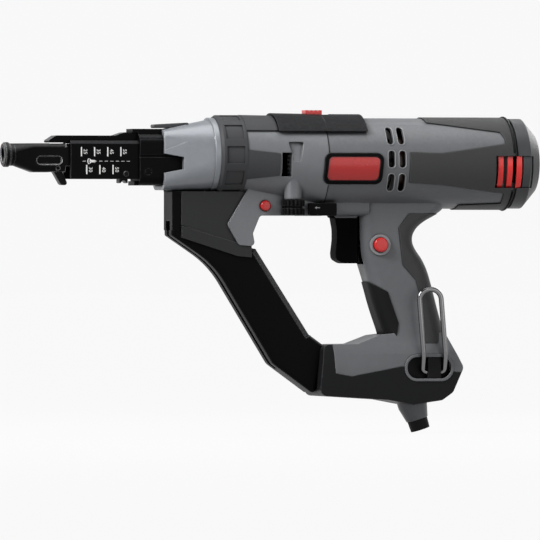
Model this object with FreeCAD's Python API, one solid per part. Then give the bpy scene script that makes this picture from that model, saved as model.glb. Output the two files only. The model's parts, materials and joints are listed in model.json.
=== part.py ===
import FreeCAD
import Part
import math
import os

# Collated drywall screwdriver in millimetres. The origin is the middle of the hand grip, +X points to
# the rear of the tool, +Z is up, and the tool's left side faces -Y.

# Fits
RUN_FIT = 0.05
SLIDE_GAP = 0.35
OVERRUN = 2.0
EDGE_ROUND = 1.0

# Gear train, from the motor to the spindle
DRIVE_HEIGHT = 81.4
FIRST_MODULE = 0.8
FIRST_PINION_TEETH = 9
FIRST_GEAR_TEETH = 31
SECOND_MODULE = 1.0
SECOND_PINION_TEETH = 12
SECOND_GEAR_TEETH = 32
BACKLASH = 0.16
PRESSURE_ANGLE = 25.0
ADDENDUM_SHARE = 0.8
DEDENDUM_SHARE = 1.1
FIRST_GEAR_WIDTH = 8.0
SECOND_PINION_WIDTH = 13.0
SECOND_GEAR_WIDTH = 9.0
PINION_WIDTH = 11.5
GEAR_SIDE_GAP = 0.5
GEAR_ROOM = 1.2
GEAR_PLATE_GAP = 2.0

# Main stations along the tool
MOTOR_REAR = 85.5
MOTOR_LENGTH = 142.5
GEAR_CASE_LENGTH = 61.0
COLLAR_LENGTH = 20.0
BARREL_LENGTH = 41.0

# Motor housing
MOTOR_RADIUS = 33.6
HOUSING_WALL = 3.0

# Rear cap
CAP_LENGTH = 22.5
CAP_RADIUS = 33.4
CAP_GROOVE_LENGTH = 3.0
CAP_GROOVE_DEPTH = 2.0
CAP_FLAT_RADIUS = 22.0
CAP_BEVEL_LENGTH = 10.0
CAP_WALL = 3.2
FIN_COUNT = 3
FIN_WINDOW_FRONT = 71.0
FIN_WINDOW_LENGTH = 21.5
FIN_WINDOW_BOTTOM = 57.2
FIN_WINDOW_HEIGHT = 23.6
FIN_WINDOW_DEPTH = 9.0
FIN_THICKNESS = 2.2
FIN_INSET = 0.9
FIN_WIDTH_SHARE = 0.56
INSERT_LENGTH = 8.0
INSERT_INSET = 0.8

# Grip and neck
GRIP_HEIGHT = 100.0
GRIP_DEPTH = 40.0
GRIP_WIDTH = 34.0
GRIP_ROUND = 11.0
GRIP_WALL = 2.8
GRIP_LEVEL_SHARES = (0.46, 0.37, 0.29, 0.21, 0.06, -0.08, -0.24, -0.44, -0.64)
GRIP_FRONT_SHARES = (-0.72, -0.72, -0.71, -0.70, -0.66, -0.555, -0.44, -0.27, -0.21)
GRIP_REAR_SHARES = (0.98, 0.76, 0.44, 0.32, 0.47, 0.63, 0.74, 0.87, 1.02)
GRIP_WIDTH_SHARES = (0.94, 0.94, 0.95, 0.97, 1.0, 1.0, 1.0, 1.06, 1.24)
NECK_BOTTOM = 36.6
NECK_REAR = -22.0
NECK_WIDTH = 33.0
NECK_ROUND = 4.0
TRIGGER_WELL_FLOOR = 0.6

# Base under the grip
BASE_FRONT = -61.5
BASE_LENGTH = 110.5
BASE_FLOOR = -104.0
BASE_HEIGHT = 46.0
BASE_WIDTH = 46.0
BASE_ROUND = 5.0
BASE_SLOPE_START = 38.0
BASE_SLOPE_RISE = 16.0
BASE_SLOPE_INSET = 5.0
BASE_X_SHARES = (0.0, 0.03, 0.27, 0.42, 0.56, 0.88, 0.945, 1.0, 0.926, 0.85, 0.647, 0.475)
BASE_Z_SHARES = (0.157, 0.98, 0.99, 1.13, 1.17, 1.17, 0.857, 0.61, 0.209, 0.08, 0.01, 0.087)
SHOE_X_SHARES = (-0.05, -0.05, 0.09, 0.11, 0.22, 0.57, 0.86, 1.05, 1.05)
SHOE_Z_SHARES = (-0.1, 1.05, 1.05, 0.52, 0.47, 0.63, 0.56, 0.52, -0.1)

# Gear case with its strut
CASE_FRONT_RADIUS = 28.6
STRUT_REACH = 73.3
STRUT_DROP = 60.0
STRUT_NECK_SHARE = 0.40
STRUT_WIDTH = 30.0
STRUT_ROUND = 3.0
STRUT_X_SHARES = (0.0, 0.0, 0.66, 0.735, 0.71, 0.88, 1.0, 0.75)
STRUT_Z_SHARES = (0.0, 0.40, 0.40, 0.62, 0.78, 0.765, 0.51, 0.0)
BULKHEAD_REAR = -81.0
BULKHEAD_THICKNESS = 14.0

# Depth pillar, worm and thumbwheel
PILLAR_X = -82.0
PILLAR_Y = -21.5
PILLAR_RADIUS = 6.4
PILLAR_TOP = 86.0
WORM_RADIUS = 4.2
WORM_CORE_RADIUS = 3.0
WORM_TEETH = 6
WORM_PITCH = 3.2
WORM_RADII = (WORM_CORE_RADIUS, WORM_RADIUS, WORM_RADIUS, WORM_CORE_RADIUS)
WORM_RISE_SHARES = (0.1, 0.35, 0.6, 0.85)
WORM_BOTTOM = 63.5
WHEEL_RADIUS = 8.8
WHEEL_BOTTOM = 37.0
WHEEL_HEIGHT = 11.4
WHEEL_FLUTES = 18
WHEEL_FLUTE_RADIUS = 0.9
WHEEL_WAIST = 1.6
WINDOW_LENGTH = 7.4
WINDOW_HEIGHT = 17.5
SCOOP_X = -81.5
SCOOP_TOP = 91.0
SCOOP_HEIGHT = 14.5
SCOOP_TOP_LENGTH = 11.5
SCOOP_END_LENGTH = 5.4
SCOOP_TOP_HALF_WIDTH = 26.8
SCOOP_END_HALF_WIDTH = 31.2

# Collar ring
COLLAR_RADIUS = 29.6
COLLAR_FRONT_RADIUS = 28.2
COLLAR_PANEL_DEPTH = 0.9
COLLAR_RIB_COUNT = 10
COLLAR_RIB_WIDTH = 6.0
SADDLE_LIFT = 1.2
SADDLE_DROP = 10.5
TONGUE_LENGTH = 24.0
TONGUE_HEIGHT = 22.0
TONGUE_END_HEIGHT = 16.5
TONGUE_LIFT = 0.8
TONGUE_DROP = 7.2
PANEL_FRONT_SHARE = 0.2
PANEL_REAR_SHARE = 0.12

# Silver front barrel
BARREL_REAR_RADIUS = 27.0
BARREL_FRONT_HEIGHT = 44.4
BARREL_FRONT_WIDTH = 37.0
BARREL_FRONT_DROP = 3.8
BARREL_FRONT_ROUND = 9.0
BARREL_RIM_LENGTH = 4.2
BARREL_RIM_LIFT = 0.7
FLUTE_LENGTH = 29.0
FLUTE_BOTTOM_RISE = 2.9
FLUTE_TOP_RISE = 14.2
FLUTE_DEPTH = 1.6
FLUTE_END_HALF_WIDTH = 24.4
NOTCH_DEPTH = 14.0
NOTCH_MOUTH = 15.0
NOTCH_END = 9.0
NOTCH_DROP = 6.2
LATCH_LENGTH = 27.0
LATCH_WIDTH = 10.0
LATCH_HEIGHT = 4.0
LATCH_TIP_HEIGHT = 2.6
LATCH_OVERHANG = 5.0
LATCH_GAP = 0.7
LATCH_PIN_RADIUS = 1.2
LATCH_PIN_REACH = 2.5

# Feed block that slides in the barrel
FEED_STROKE = 55.0
BLOCK_FRONT = -197.0
BLOCK_TAIL = -153.0
BLOCK_HEIGHT = 37.6
BLOCK_WIDTH = 29.6
BLOCK_DROP = 3.8
BLOCK_ROUND = 6.5
BLOCK_LINE_SHARES = (0.556, 0.915)
BLOCK_LINE_HEIGHT = 1.4
BLOCK_LINE_DEPTH = 1.5
BLOCK_LIP_REACH = 3.0
BLOCK_LIP_HEIGHT = 3.2
BLOCK_LIP_WIDTH = 18.0
BLOCK_SCREW_X = -191.0
BLOCK_SCREW_RISE = 10.6
BLOCK_SCREW_RADIUS = 2.1
BLOCK_SCREW_GROOVE = 0.7
BLOCK_SCREW_DEPTH = 0.9
BIT_BORE_RADIUS = 4.4
SPRING_POCKET_DEPTH = 26.0
SPRING_POCKET_RADIUS = 13.0
BLOCK_CAP_LENGTH = 24.0
BLOCK_CAP_OVERHANG = 4.5
BLOCK_CAP_RISE = 4.2
BLOCK_CAP_WIDTH = 18.0

# Scale plates and top rail on the feed block
PLATE_LENGTH = 52.0
PLATE_HEIGHT = 28.3
PLATE_DROP = 3.75
PLATE_THICKNESS = 2.6
PLATE_SPREAD = 24.4
PLATE_BEVEL = 2.2
RAIL_LENGTH = 70.0
RAIL_HEIGHT = 7.6
RAIL_WIDTH = 15.0
RAIL_RISE = 9.0
RAIL_SLANT = 8.0
RAIL_STEP_START = 17.0
RAIL_STEP_LENGTH = 7.0
RAIL_STEP_HEIGHT = 2.4

# Nosepiece
NOSE_TIP = -298.0
TIP_RADIUS = 9.2
TIP_LENGTH = 5.0
TIP_NECK_RADIUS = 8.3
TIP_NECK_LENGTH = 3.0
NOSE_BORE_RADIUS = 5.6
NOSE_TUBE_LENGTH = 24.0
NOSE_TUBE_HEIGHT = 21.4
NOSE_TUBE_WIDTH = 18.0
NOSE_TUBE_DROP = 2.3
NOSE_TUBE_ROUND = 4.0
NOSE_TAIL_LENGTH = 22.0
NOSE_FLARE_LENGTH = 14.0
NOSE_STRIP_GAP = 12.0
NOSE_TAIL_WALL = 2.8
NOSE_TAIL_BOTTOM_GAP = 8.4
NOSE_WEB_RISE = 5.2
NOSE_SLOT_LENGTH = 19.0
NOSE_SLOT_HEIGHT = 6.0
NOSE_SLOT_DEPTH = 1.3
NOSE_SLOT_START = 24.0
NOSE_SLOT_DROP = 4.2

# Finger under the nosepiece
FINGER_PIVOT_X = -258.0
FINGER_PIVOT_DROP = 10.0
FINGER_LENGTH = 9.0
FINGER_DROP = 12.5
FINGER_WIDTH = 7.0
FINGER_THICKNESS = 5.4
FINGER_PIN_RADIUS = 1.25
FINGER_BOSS_RADIUS = 3.6

# Strip sprocket
SPROCKET_X = -207.0
SPROCKET_DROP = 14.0
SPROCKET_RADIUS = 7.4
SPROCKET_ROOT_RADIUS = 5.0
SPROCKET_TEETH = 8
SPROCKET_RADII = (SPROCKET_ROOT_RADIUS, SPROCKET_RADIUS, SPROCKET_RADIUS, SPROCKET_ROOT_RADIUS)
SPROCKET_ANGLE_SHARES = (0.12, 0.42, 0.58, 0.88)
SPROCKET_WIDTH = 9.0
SPROCKET_AXLE_RADIUS = 2.0

# Strip track and its bracket
TRACK_HANG = 27.0
TRACK_FRONT = -172.0
TRACK_REACH = 110.0
TRACK_DROP = 151.0
TRACK_WIDTH = 24.0
TRACK_ROUND = 2.5
TRACK_BEVEL = 4.6
TRACK_POST_LENGTH = 7.0
TRACK_POST_SHARE = 0.19
TRACK_KNEE_RADIUS = 70.0
TRACK_X_SHARES = (0.0, 0.0, 0.298, 0.705, 1.0, 1.06, 0.965, 0.592, 0.46)
TRACK_Z_SHARES = (0.165, 0.215, 0.362, 0.845, 1.0, 0.755, 0.705, 0.282, 0.263)
TRACK_CORNER_SHARES = (0.02, 0.02, 1.0, 0.12, 0.04, 0.02, 0.12, 0.04, 0.04)
TRACK_INNER_INDEX = 6
GROOVE_WIDTH = 12.0
GROOVE_SLIT = 6.4
GROOVE_LIP = 3.0
GROOVE_DEPTH = 6.5
GROOVE_RUNOUT = 6.0
BRACKET_WIDTH = 26.0
BRACKET_X_SHARES = (0.064, 0.064, 0.56, 0.40, 0.46)
BRACKET_Z_SHARES = (0.165, 0.0, 0.0, 0.167, 0.263)
BRACKET_BAND_WIDTH = 27.8
BRACKET_BAND_X_SHARES = (0.064, 0.46, 0.55, 0.55, 0.45, 0.064)
BRACKET_BAND_Z_SHARES = (0.168, 0.253, 0.266, 0.323, 0.316, 0.226)

# Trigger and switch
TRIGGER_FRONT = -46.3
TRIGGER_WIDTH = 18.0
TRIGGER_TOP = 35.6
TRIGGER_HEIGHT = 34.4
TRIGGER_DEPTH = 18.0
TRIGGER_X_SHARES = (0.0, 0.10, 0.10, 0.035, 0.06, 0.36, 1.0, 1.0)
TRIGGER_Z_SHARES = (1.0, 0.73, 0.50, 0.22, 0.09, 0.0, 0.0, 1.0)
TRIGGER_ROUNDS = (1.0, 25.0, 25.0, 8.0, 4.0, 6.0, 1.0, 1.0)
TRIGGER_SIDE_ROUND = 1.6
TRIGGER_TRAVEL = 7.0
TRIGGER_STEM_LENGTH = 12.0
TRIGGER_STEM_HEIGHT = 8.0
TRIGGER_STEM_WIDTH = 8.0
SWITCH_LENGTH = 18.0
SWITCH_HEIGHT = 26.0
SWITCH_WIDTH = 20.0
SWITCH_PIN_RADIUS = 2.0
SWITCH_PIN_SHARE = 0.385

# Lock-on button and release button
LOCK_X = -13.8
LOCK_HEIGHT = 14.9
LOCK_RADIUS = 5.4
LOCK_RING_RADIUS = 7.8
LOCK_RING_LIFT = 1.2
LOCK_PROUD = 4.6
LOCK_TRAVEL = 3.0
LOCK_STEM = 3.5
RELEASE_X = -101.5
RELEASE_HEIGHT = 43.8
RELEASE_RADIUS = 3.85
RELEASE_PROUD = 3.2
RELEASE_TRAVEL = 2.6
RELEASE_STEM = 8.0
DOME_ROUND = 1.4

# Direction lever
LEVER_X = -59.0
LEVER_HEIGHT = 41.2
LEVER_BAR_LENGTH = 11.0
LEVER_BAR_HEIGHT = 5.0
LEVER_PAD_LENGTH = 21.0
LEVER_PAD_HEIGHT = 9.4
LEVER_PAD_THICKNESS = 4.2
LEVER_PAD_GAP = 1.4
LEVER_SWING = 6.0
LEVER_PIN_RADIUS = 2.0

# Top plate and bit-release slider
TOP_PLATE_FRONT = -94.0
TOP_PLATE_LENGTH = 68.0
TOP_PLATE_DROP = 10.0
TOP_PLATE_LIFT = 3.0
SLIDER_LENGTH = 12.5
SLIDER_WIDTH = 11.0
SLIDER_HEIGHT = 5.2
SLIDER_FRONT = -68.0
SLIDER_TRAVEL = 7.0
SLIDER_SINK = 2.4
SLIDER_RIBS = 3

# Moulded panels, badge and vents
PANEL_LIFT = 0.8
PANEL_SINK = 1.2
SIDE_PANEL_START = 4.8
PANEL_REAR_HEIGHT = 40.0
SIDE_PANEL_X_SHARES = (0.0, 0.31, 0.92, 1.0, 1.0, 0.92, 0.31, 0.0)
SIDE_PANEL_Z_SHARES = (0.20, 0.18, 0.36, 0.78, -0.78, -0.56, -0.40, -0.36)
CROWN_PANEL_START = 20.0
CROWN_PANEL_X_SHARES = (0.0, 0.03, 0.86, 0.92, 1.0, 1.0)
CROWN_PANEL_Z_SHARES = (0.95, 0.76, 0.58, 0.40, 0.40, 0.95)
BELLY_PANEL_START = 42.0
BELLY_PANEL_X_SHARES = (0.0, 1.0, 1.0, 0.12)
BELLY_PANEL_Z_SHARES = (-1.2, -1.2, -0.74, -0.78)
RING_START_SHARE = 0.92
GRIP_PANEL_X_SHARES = (0.21, 0.015, 0.09, 0.34, 0.44, 0.48, 1.3, 1.3)
GRIP_PANEL_Z_SHARES = (0.38, 0.275, 0.0, -0.11, -0.245, -0.58, -0.58, 0.38)
FRONT_PANEL_X_SHARES = (-0.70, -0.20, 0.0, -0.06, -0.70)
FRONT_PANEL_Z_SHARES = (-0.09, -0.20, -0.43, -0.575, -0.575)
BADGE_X = -38.4
BADGE_LENGTH = 46.4
BADGE_HEIGHT = 23.1
BADGE_DROP = 4.1
BADGE_LEAN = 1.5
BADGE_FRAME = 2.7
BADGE_ROUND = 5.0
BADGE_LIFT = 1.0
BADGE_SINK = 0.8
BADGE_PLATE_SINK = 0.5
VENT_COLUMNS = 2
VENT_ROWS = 3
VENT_START = -11.7
VENT_PITCH = 8.35
VENT_LENGTH = 4.85
VENT_HEIGHT = 12.4
VENT_ROW_PITCH = 17.15
VENT_RISE = 2.9
VENT_ROUND = 2.2

# Motor inside
SHAFT_RADIUS = 4.0
BEARING_RADIUS = 9.5
BEARING_WIDTH = 7.0
BEARING_PLATE_THICKNESS = 10.0
STATOR_RADIUS = 27.5
STATOR_BORE = 19.0
STATOR_START = 4.0
STATOR_LENGTH = 46.0
STATOR_COIL_SHARE = 0.5
CORE_INSET = 2.0
CORE_RADIUS = 18.4
CORE_SLOTS = 12
CORE_SLOT_WIDTH = 2.4
CORE_SLOT_DEPTH = 8.0
COMMUTATOR_RADIUS = 11.0
COMMUTATOR_LENGTH = 15.0
COMMUTATOR_GAP = 5.0
WINDING_RADIUS = 16.4
WINDING_FRONT_LENGTH = 10.0
WINDING_REAR_LENGTH = 4.0
WINDING_ROUND = 1.8
COIL_INSET = 1.0
COIL_FRONT_LENGTH = 9.0
COIL_REAR_LENGTH = 3.0
FAN_RADIUS = 27.0
FAN_HUB_RADIUS = 8.0
FAN_WIDTH = 9.0
FAN_START = -18.0
FAN_BLADES = 12
FAN_BLADE_THICKNESS = 1.6
FAN_DISC_THICKNESS = 1.8
BRUSH_WIDTH = 6.0
BRUSH_LENGTH = 13.0
BRUSH_BOX_WALL = 1.4
BRUSH_BOX_GAP = 2.0
RIB_THICKNESS = 3.0
REAR_BEARING_GAP = 4.0

# Spindle, countershaft and bit
SPINDLE_RADIUS = 6.0
SPINDLE_BEARING_RADIUS = 12.0
SPINDLE_BEARING_WIDTH = 12.0
HOLDER_RADIUS = 7.5
HOLDER_LENGTH = 24.0
BIT_ACROSS_FLATS = 6.35
BIT_SOCKET_DEPTH = 16.0
BIT_REACH = 1.5
BIT_TIP_LENGTH = 9.0
BIT_TIP_RADIUS = 1.2
COUNTER_RADIUS = 4.0
COUNTER_BUSH_RADIUS = 6.0
COUNTER_BUSH_LENGTH = 5.0
SPRING_RADIUS = 10.6
SPRING_WIRE = 1.6

# Wire hook on the base
HOOK_WIRE_RADIUS = 1.9
HOOK_X = 26.4
HOOK_LEAN = 5.0
HOOK_FOOT_HEIGHT = -79.5
HOOK_LENGTH = 61.5
HOOK_SPREAD = 16.8
HOOK_STANDOFF = 4.2
HOOK_KNEE_RISE = 13.0
HOOK_PIN_REACH = 6.5
HOOK_BEND_RADIUS = 8.0
HOOK_FOOT_ROOM = 2.8
HOOK_RECESS_DEPTH = 6.0
HOOK_RECESS_FRONT = 20.9
HOOK_RECESS_LENGTH = 33.5
HOOK_RECESS_HEIGHT = 16.0
HOOK_RECESS_ROUND = 7.6
HOOK_RIM_WIDTH = 2.0
HOOK_RIM_LIFT = 0.6
HOOK_RIM_SINK = 0.9
HOOK_PAD_THICKNESS = 1.0
HOOK_BOSS_GAP = 1.5

# Cord bush and guard
BUSH_X = 16.0
BUSH_TILT = 18.0
BUSH_RADIUS = 11.0
BUSH_END_RADIUS = 8.2
BUSH_LENGTH = 11.0
BUSH_SINK = 6.0
GUARD_RADIUS = 7.6
GUARD_END_RADIUS = 7.2
GUARD_LENGTH = 8.0
CORD_BORE_RADIUS = 4.0

# Housing screws
SCREW_HEAD_RADIUS = 3.4
SCREW_HEAD_HEIGHT = 2.6
SCREW_RADIUS = 1.9
SCREW_LENGTH = 14.0
SCREW_WELL_RADIUS = 3.9
SCREW_INSET = 8.0
SCREW_RISE = 4.0
SCREW_BASE_SHARE = 0.36

# Shares used by the helpers
ROUND_LIMIT_SHARE = 0.49

# Places that follow from the sizes above
MOTOR_FRONT = MOTOR_REAR - MOTOR_LENGTH
CASE_FRONT = MOTOR_FRONT - GEAR_CASE_LENGTH
COLLAR_FRONT = CASE_FRONT - COLLAR_LENGTH
BARREL_FRONT = COLLAR_FRONT - BARREL_LENGTH
FIRST_CENTRES = FIRST_MODULE * (FIRST_PINION_TEETH + FIRST_GEAR_TEETH) / 2
SECOND_CENTRES = SECOND_MODULE * (SECOND_PINION_TEETH + SECOND_GEAR_TEETH) / 2
COUNTER_HEIGHT = DRIVE_HEIGHT - SECOND_CENTRES
MOTOR_HEIGHT = COUNTER_HEIGHT + FIRST_CENTRES
BULKHEAD_FRONT = BULKHEAD_REAR - BULKHEAD_THICKNESS
BIT_TIP = NOSE_TIP + FEED_STROKE - BIT_REACH
PINION_FRONT = MOTOR_FRONT - GEAR_SIDE_GAP - PINION_WIDTH
FIRST_GEAR_REAR = MOTOR_FRONT - GEAR_PLATE_GAP
FIRST_GEAR_FRONT = FIRST_GEAR_REAR - FIRST_GEAR_WIDTH
SECOND_PINION_FRONT = FIRST_GEAR_FRONT - SECOND_PINION_WIDTH
SPINDLE_REAR = PINION_FRONT - GEAR_SIDE_GAP
SECOND_GEAR_FRONT = SPINDLE_REAR - SECOND_GEAR_WIDTH
BLOCK_MIDDLE = DRIVE_HEIGHT - BLOCK_DROP
TRACK_TOP = DRIVE_HEIGHT - TRACK_HANG
COMMUTATOR_FRONT = STATOR_START + STATOR_LENGTH - CORE_INSET + COMMUTATOR_GAP
HOLDER_FRONT = BULKHEAD_REAR - SPINDLE_BEARING_WIDTH - HOLDER_LENGTH
REAR_WEB = MOTOR_REAR - REAR_BEARING_GAP - BEARING_WIDTH
ALONG_X = FreeCAD.Vector(1, 0, 0)
ALONG_Y = FreeCAD.Vector(0, 1, 0)
ALONG_Z = FreeCAD.Vector(0, 0, 1)


def vec(x, y, z):
    """A point or direction in the tool's frame."""
    return FreeCAD.Vector(x, y, z)


def block(x0, x1, y0, y1, z0, z1):
    """A box between two corners."""
    return Part.makeBox(x1 - x0, y1 - y0, z1 - z0, vec(x0, y0, z0))


def rod_x(x0, x1, radius, z, y=0.0):
    """A round bar along X."""
    return Part.makeCylinder(radius, x1 - x0, vec(x0, y, z), ALONG_X)


def rod_y(y0, y1, radius, x, z):
    """A round bar along Y."""
    return Part.makeCylinder(radius, y1 - y0, vec(x, y0, z), ALONG_Y)


def rod_z(z0, z1, radius, x, y):
    """A round bar along Z."""
    return Part.makeCylinder(radius, z1 - z0, vec(x, y, z0), ALONG_Z)


def tube_x(x0, x1, outer, inner, z):
    """A round tube along X."""
    return rod_x(x0, x1, outer, z).cut(rod_x(x0, x1, inner, z))


def rounded_wire(corners, radii):
    """A closed wire through corners, each rounded by its radius as far as its sides allow."""
    count = len(corners)
    bends = []
    for index, here in enumerate(corners):
        to_before = corners[index - 1] - here
        to_after = corners[(index + 1) % count] - here
        shorter = min(to_before.Length, to_after.Length)
        half_turn = to_before.getAngle(to_after) / 2
        radius = min(radii[index], ROUND_LIMIT_SHARE * shorter * math.tan(half_turn))
        to_before.normalize()
        to_after.normalize()
        reach = radius / math.tan(half_turn)
        inward = (to_before + to_after).normalize()
        middle = here + inward * (radius / math.sin(half_turn) - radius)
        bends.append((here + to_before * reach, middle, here + to_after * reach))
    edges = []
    for index, (first, middle, last) in enumerate(bends):
        if radii[index] > 0:
            edges.append(Part.Arc(first, middle, last).toShape())
        following = bends[(index + 1) % count][0]
        edges.append(Part.LineSegment(last, following).toShape())
    return Part.Wire(edges)


def slab(points, y0, y1, radius=0.0):
    """A plate with an outline in side view, given as (x, z) points, between two Y planes."""
    corners = [vec(x, y0, z) for x, z in points]
    radii = radius if isinstance(radius, (list, tuple)) else [radius] * len(corners)
    face = Part.Face(rounded_wire(corners, radii))
    return face.extrude(vec(0, y1 - y0, 0))


def turned(profile, height):
    """A solid of revolution about a line along X, from (x, radius) points."""
    corners = [vec(x, 0, height + radius) for x, radius in profile]
    face = Part.Face(Part.makePolygon(corners + corners[:1]))
    return face.revolve(vec(0, 0, height), ALONG_X, 360)


def cross_section(x, half_width, bottom, top, radius):
    """A rounded rectangle across the tool at one station."""
    corners = [
        vec(x, -half_width, bottom),
        vec(x, half_width, bottom),
        vec(x, half_width, top),
        vec(x, -half_width, top),
    ]
    return rounded_wire(corners, [radius] * len(corners))


def passage(x0, x1, half_width, bottom, top, radius):
    """A bar along X with a rounded rectangular section."""
    face = Part.Face(cross_section(x0, half_width, bottom, top, radius))
    return face.extrude(vec(x1 - x0, 0, 0))


def round_off(solid, radius, on_edge):
    """The solid with each edge that the test picks rounded."""
    return solid.makeFillet(radius, [edge for edge in solid.Edges if on_edge(edge)])


def lies_at_sides(half_width):
    """A test for the edges that run round a plate's two side faces."""

    def test(edge):
        ends = (edge.BoundBox.YMin, edge.BoundBox.YMax)
        level = abs(ends[0])
        return ends[1] - ends[0] < RUN_FIT and abs(level - half_width) < RUN_FIT

    return test


def shares_to_points(x_shares, z_shares, x0, x_size, z0, z_size):
    """Outline points from shares of a width and a height."""
    return [(x0 + x_size * sx, z0 + z_size * sz) for sx, sz in zip(x_shares, z_shares)]


def fused(*solids):
    """One solid from several that meet."""
    result = solids[0].multiFuse(list(solids[1:]))
    return result.removeSplitter()


def mirrored(solid):
    """The same solid on the tool's other side."""
    return solid.mirror(vec(0, 0, 0), ALONG_Y)


# Grip, neck and motor housing


def grip_form(grow):
    """The hand grip as a smooth loft, grown or shrunk by a wall or a lift."""
    stations = zip(GRIP_LEVEL_SHARES, GRIP_FRONT_SHARES, GRIP_REAR_SHARES, GRIP_WIDTH_SHARES)
    wires = []
    for level, front, rear, width in stations:
        z = GRIP_HEIGHT * level
        x0 = GRIP_DEPTH * front - grow
        x1 = GRIP_DEPTH * rear + grow
        half = GRIP_WIDTH * width / 2 + grow
        corners = [vec(x0, -half, z), vec(x1, -half, z), vec(x1, half, z), vec(x0, half, z)]
        wires.append(rounded_wire(corners, [GRIP_ROUND + grow] * len(corners)))
    return Part.makeLoft(wires, True, False)


def motor_form(grow):
    """The round motor housing, grown or shrunk."""
    return rod_x(MOTOR_FRONT, MOTOR_REAR, MOTOR_RADIUS + grow, MOTOR_HEIGHT)


def neck_form():
    """The square neck between the motor and the trigger."""
    half = NECK_WIDTH / 2
    outline = [
        (MOTOR_FRONT, NECK_BOTTOM),
        (NECK_REAR, NECK_BOTTOM),
        (NECK_REAR, COUNTER_HEIGHT),
        (MOTOR_FRONT, COUNTER_HEIGHT),
    ]
    level = NECK_BOTTOM + RUN_FIT
    lower_edges = lambda edge: edge.BoundBox.ZMax < level and edge.BoundBox.YLength < RUN_FIT
    return round_off(slab(outline, -half, half), NECK_ROUND, lower_edges)


def base_form():
    """The foot under the grip."""
    half = BASE_WIDTH / 2
    outline = shares_to_points(
        BASE_X_SHARES, BASE_Z_SHARES, BASE_FRONT, BASE_LENGTH, BASE_FLOOR, BASE_HEIGHT
    )
    return slab(outline, -half, half, BASE_ROUND).cut(base_slopes())


def base_slopes():
    """The two wedges that slope the foot's shoulders in towards the grip."""
    half = BASE_WIDTH / 2
    z0 = BASE_FLOOR + BASE_SLOPE_START
    z1 = z0 + BASE_SLOPE_RISE
    corners = [(-half, z0), (-half + BASE_SLOPE_INSET, z1), (-BASE_WIDTH, z1), (-BASE_WIDTH, z0)]
    points = [vec(BASE_FRONT - OVERRUN, y, z) for y, z in corners + corners[:1]]
    wedge = Part.Face(Part.makePolygon(points)).extrude(vec(BASE_LENGTH + 2 * OVERRUN, 0, 0))
    return [wedge, mirrored(wedge)]


def shoe_cutter():
    """The part of the foot that the dark shoe takes up."""
    outline = shares_to_points(
        SHOE_X_SHARES, SHOE_Z_SHARES, BASE_FRONT, BASE_LENGTH, BASE_FLOOR, BASE_HEIGHT
    )
    return slab(outline, -BASE_WIDTH, BASE_WIDTH)


def panel_outline(x_shares, z_shares, start):
    """A moulded panel's outline on the motor housing, up to the rear lip."""
    length = MOTOR_REAR - start
    return shares_to_points(x_shares, z_shares, start, length, MOTOR_HEIGHT, PANEL_REAR_HEIGHT)


def motor_panel():
    """The soft panel round the rear of the motor housing, with its side and top tongues."""
    end = MOTOR_REAR
    skin = tube_x(
        MOTOR_FRONT, end, MOTOR_RADIUS + PANEL_LIFT, MOTOR_RADIUS - PANEL_SINK, MOTOR_HEIGHT
    )
    reach = 2 * MOTOR_RADIUS
    sides = slab(
        panel_outline(SIDE_PANEL_X_SHARES, SIDE_PANEL_Z_SHARES, SIDE_PANEL_START), -reach, reach
    )
    crown = slab(
        panel_outline(CROWN_PANEL_X_SHARES, CROWN_PANEL_Z_SHARES, CROWN_PANEL_START), -reach, reach
    )
    belly = slab(
        panel_outline(BELLY_PANEL_X_SHARES, BELLY_PANEL_Z_SHARES, BELLY_PANEL_START), -reach, reach
    )
    ring_start = SIDE_PANEL_START + (end - SIDE_PANEL_START) * RING_START_SHARE
    ring = block(ring_start, end, -reach, reach, MOTOR_HEIGHT - reach, MOTOR_HEIGHT + reach)
    return skin.common(fused(sides, crown, belly, ring)).cut(fin_windows())


def grip_panel(x_shares, z_shares):
    """A soft panel let into the grip."""
    outline = shares_to_points(x_shares, z_shares, 0, GRIP_DEPTH, 0, GRIP_HEIGHT)
    cutter = slab(outline, -GRIP_WIDTH, GRIP_WIDTH)
    skin = grip_form(PANEL_LIFT).cut(grip_form(-PANEL_SINK))
    around = [motor_form(0), base_form()]
    return skin.common(cutter).cut(around)


def badge_outline(inset):
    """The slanted badge in side view."""
    x0 = BADGE_X - BADGE_LENGTH / 2 + inset
    x1 = BADGE_X + BADGE_LENGTH / 2 - inset
    middle = MOTOR_HEIGHT - BADGE_DROP
    z0 = middle - BADGE_HEIGHT / 2 + inset
    z1 = middle + BADGE_HEIGHT / 2 - inset
    return [(x0, z0), (x1 - BADGE_LEAN, z0), (x1, z1), (x0 + BADGE_LEAN, z1)]


def badge_piece(inset, top):
    """A badge layer let into the left side, up to a height over the motor housing."""
    front = BADGE_X - BADGE_LENGTH
    rear = BADGE_X + BADGE_LENGTH
    skin = tube_x(front, rear, MOTOR_RADIUS + top, MOTOR_RADIUS - BADGE_SINK, MOTOR_HEIGHT)
    return skin.common(slab(badge_outline(inset), -2 * MOTOR_RADIUS, 0, BADGE_ROUND - inset / 2))


def vent_slots():
    """The air slots through both sides of the motor housing."""
    slots = []
    for column in range(VENT_COLUMNS):
        x = VENT_START + column * VENT_PITCH
        for row in range(VENT_ROWS):
            middle = MOTOR_HEIGHT + VENT_RISE + (row - (VENT_ROWS - 1) / 2) * VENT_ROW_PITCH
            z0 = middle - VENT_HEIGHT / 2
            z1 = middle + VENT_HEIGHT / 2
            outline = [(x, z0), (x + VENT_LENGTH, z0), (x + VENT_LENGTH, z1), (x, z1)]
            slots.append(slab(outline, -2 * MOTOR_RADIUS, 2 * MOTOR_RADIUS, VENT_ROUND))
    return slots


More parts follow.
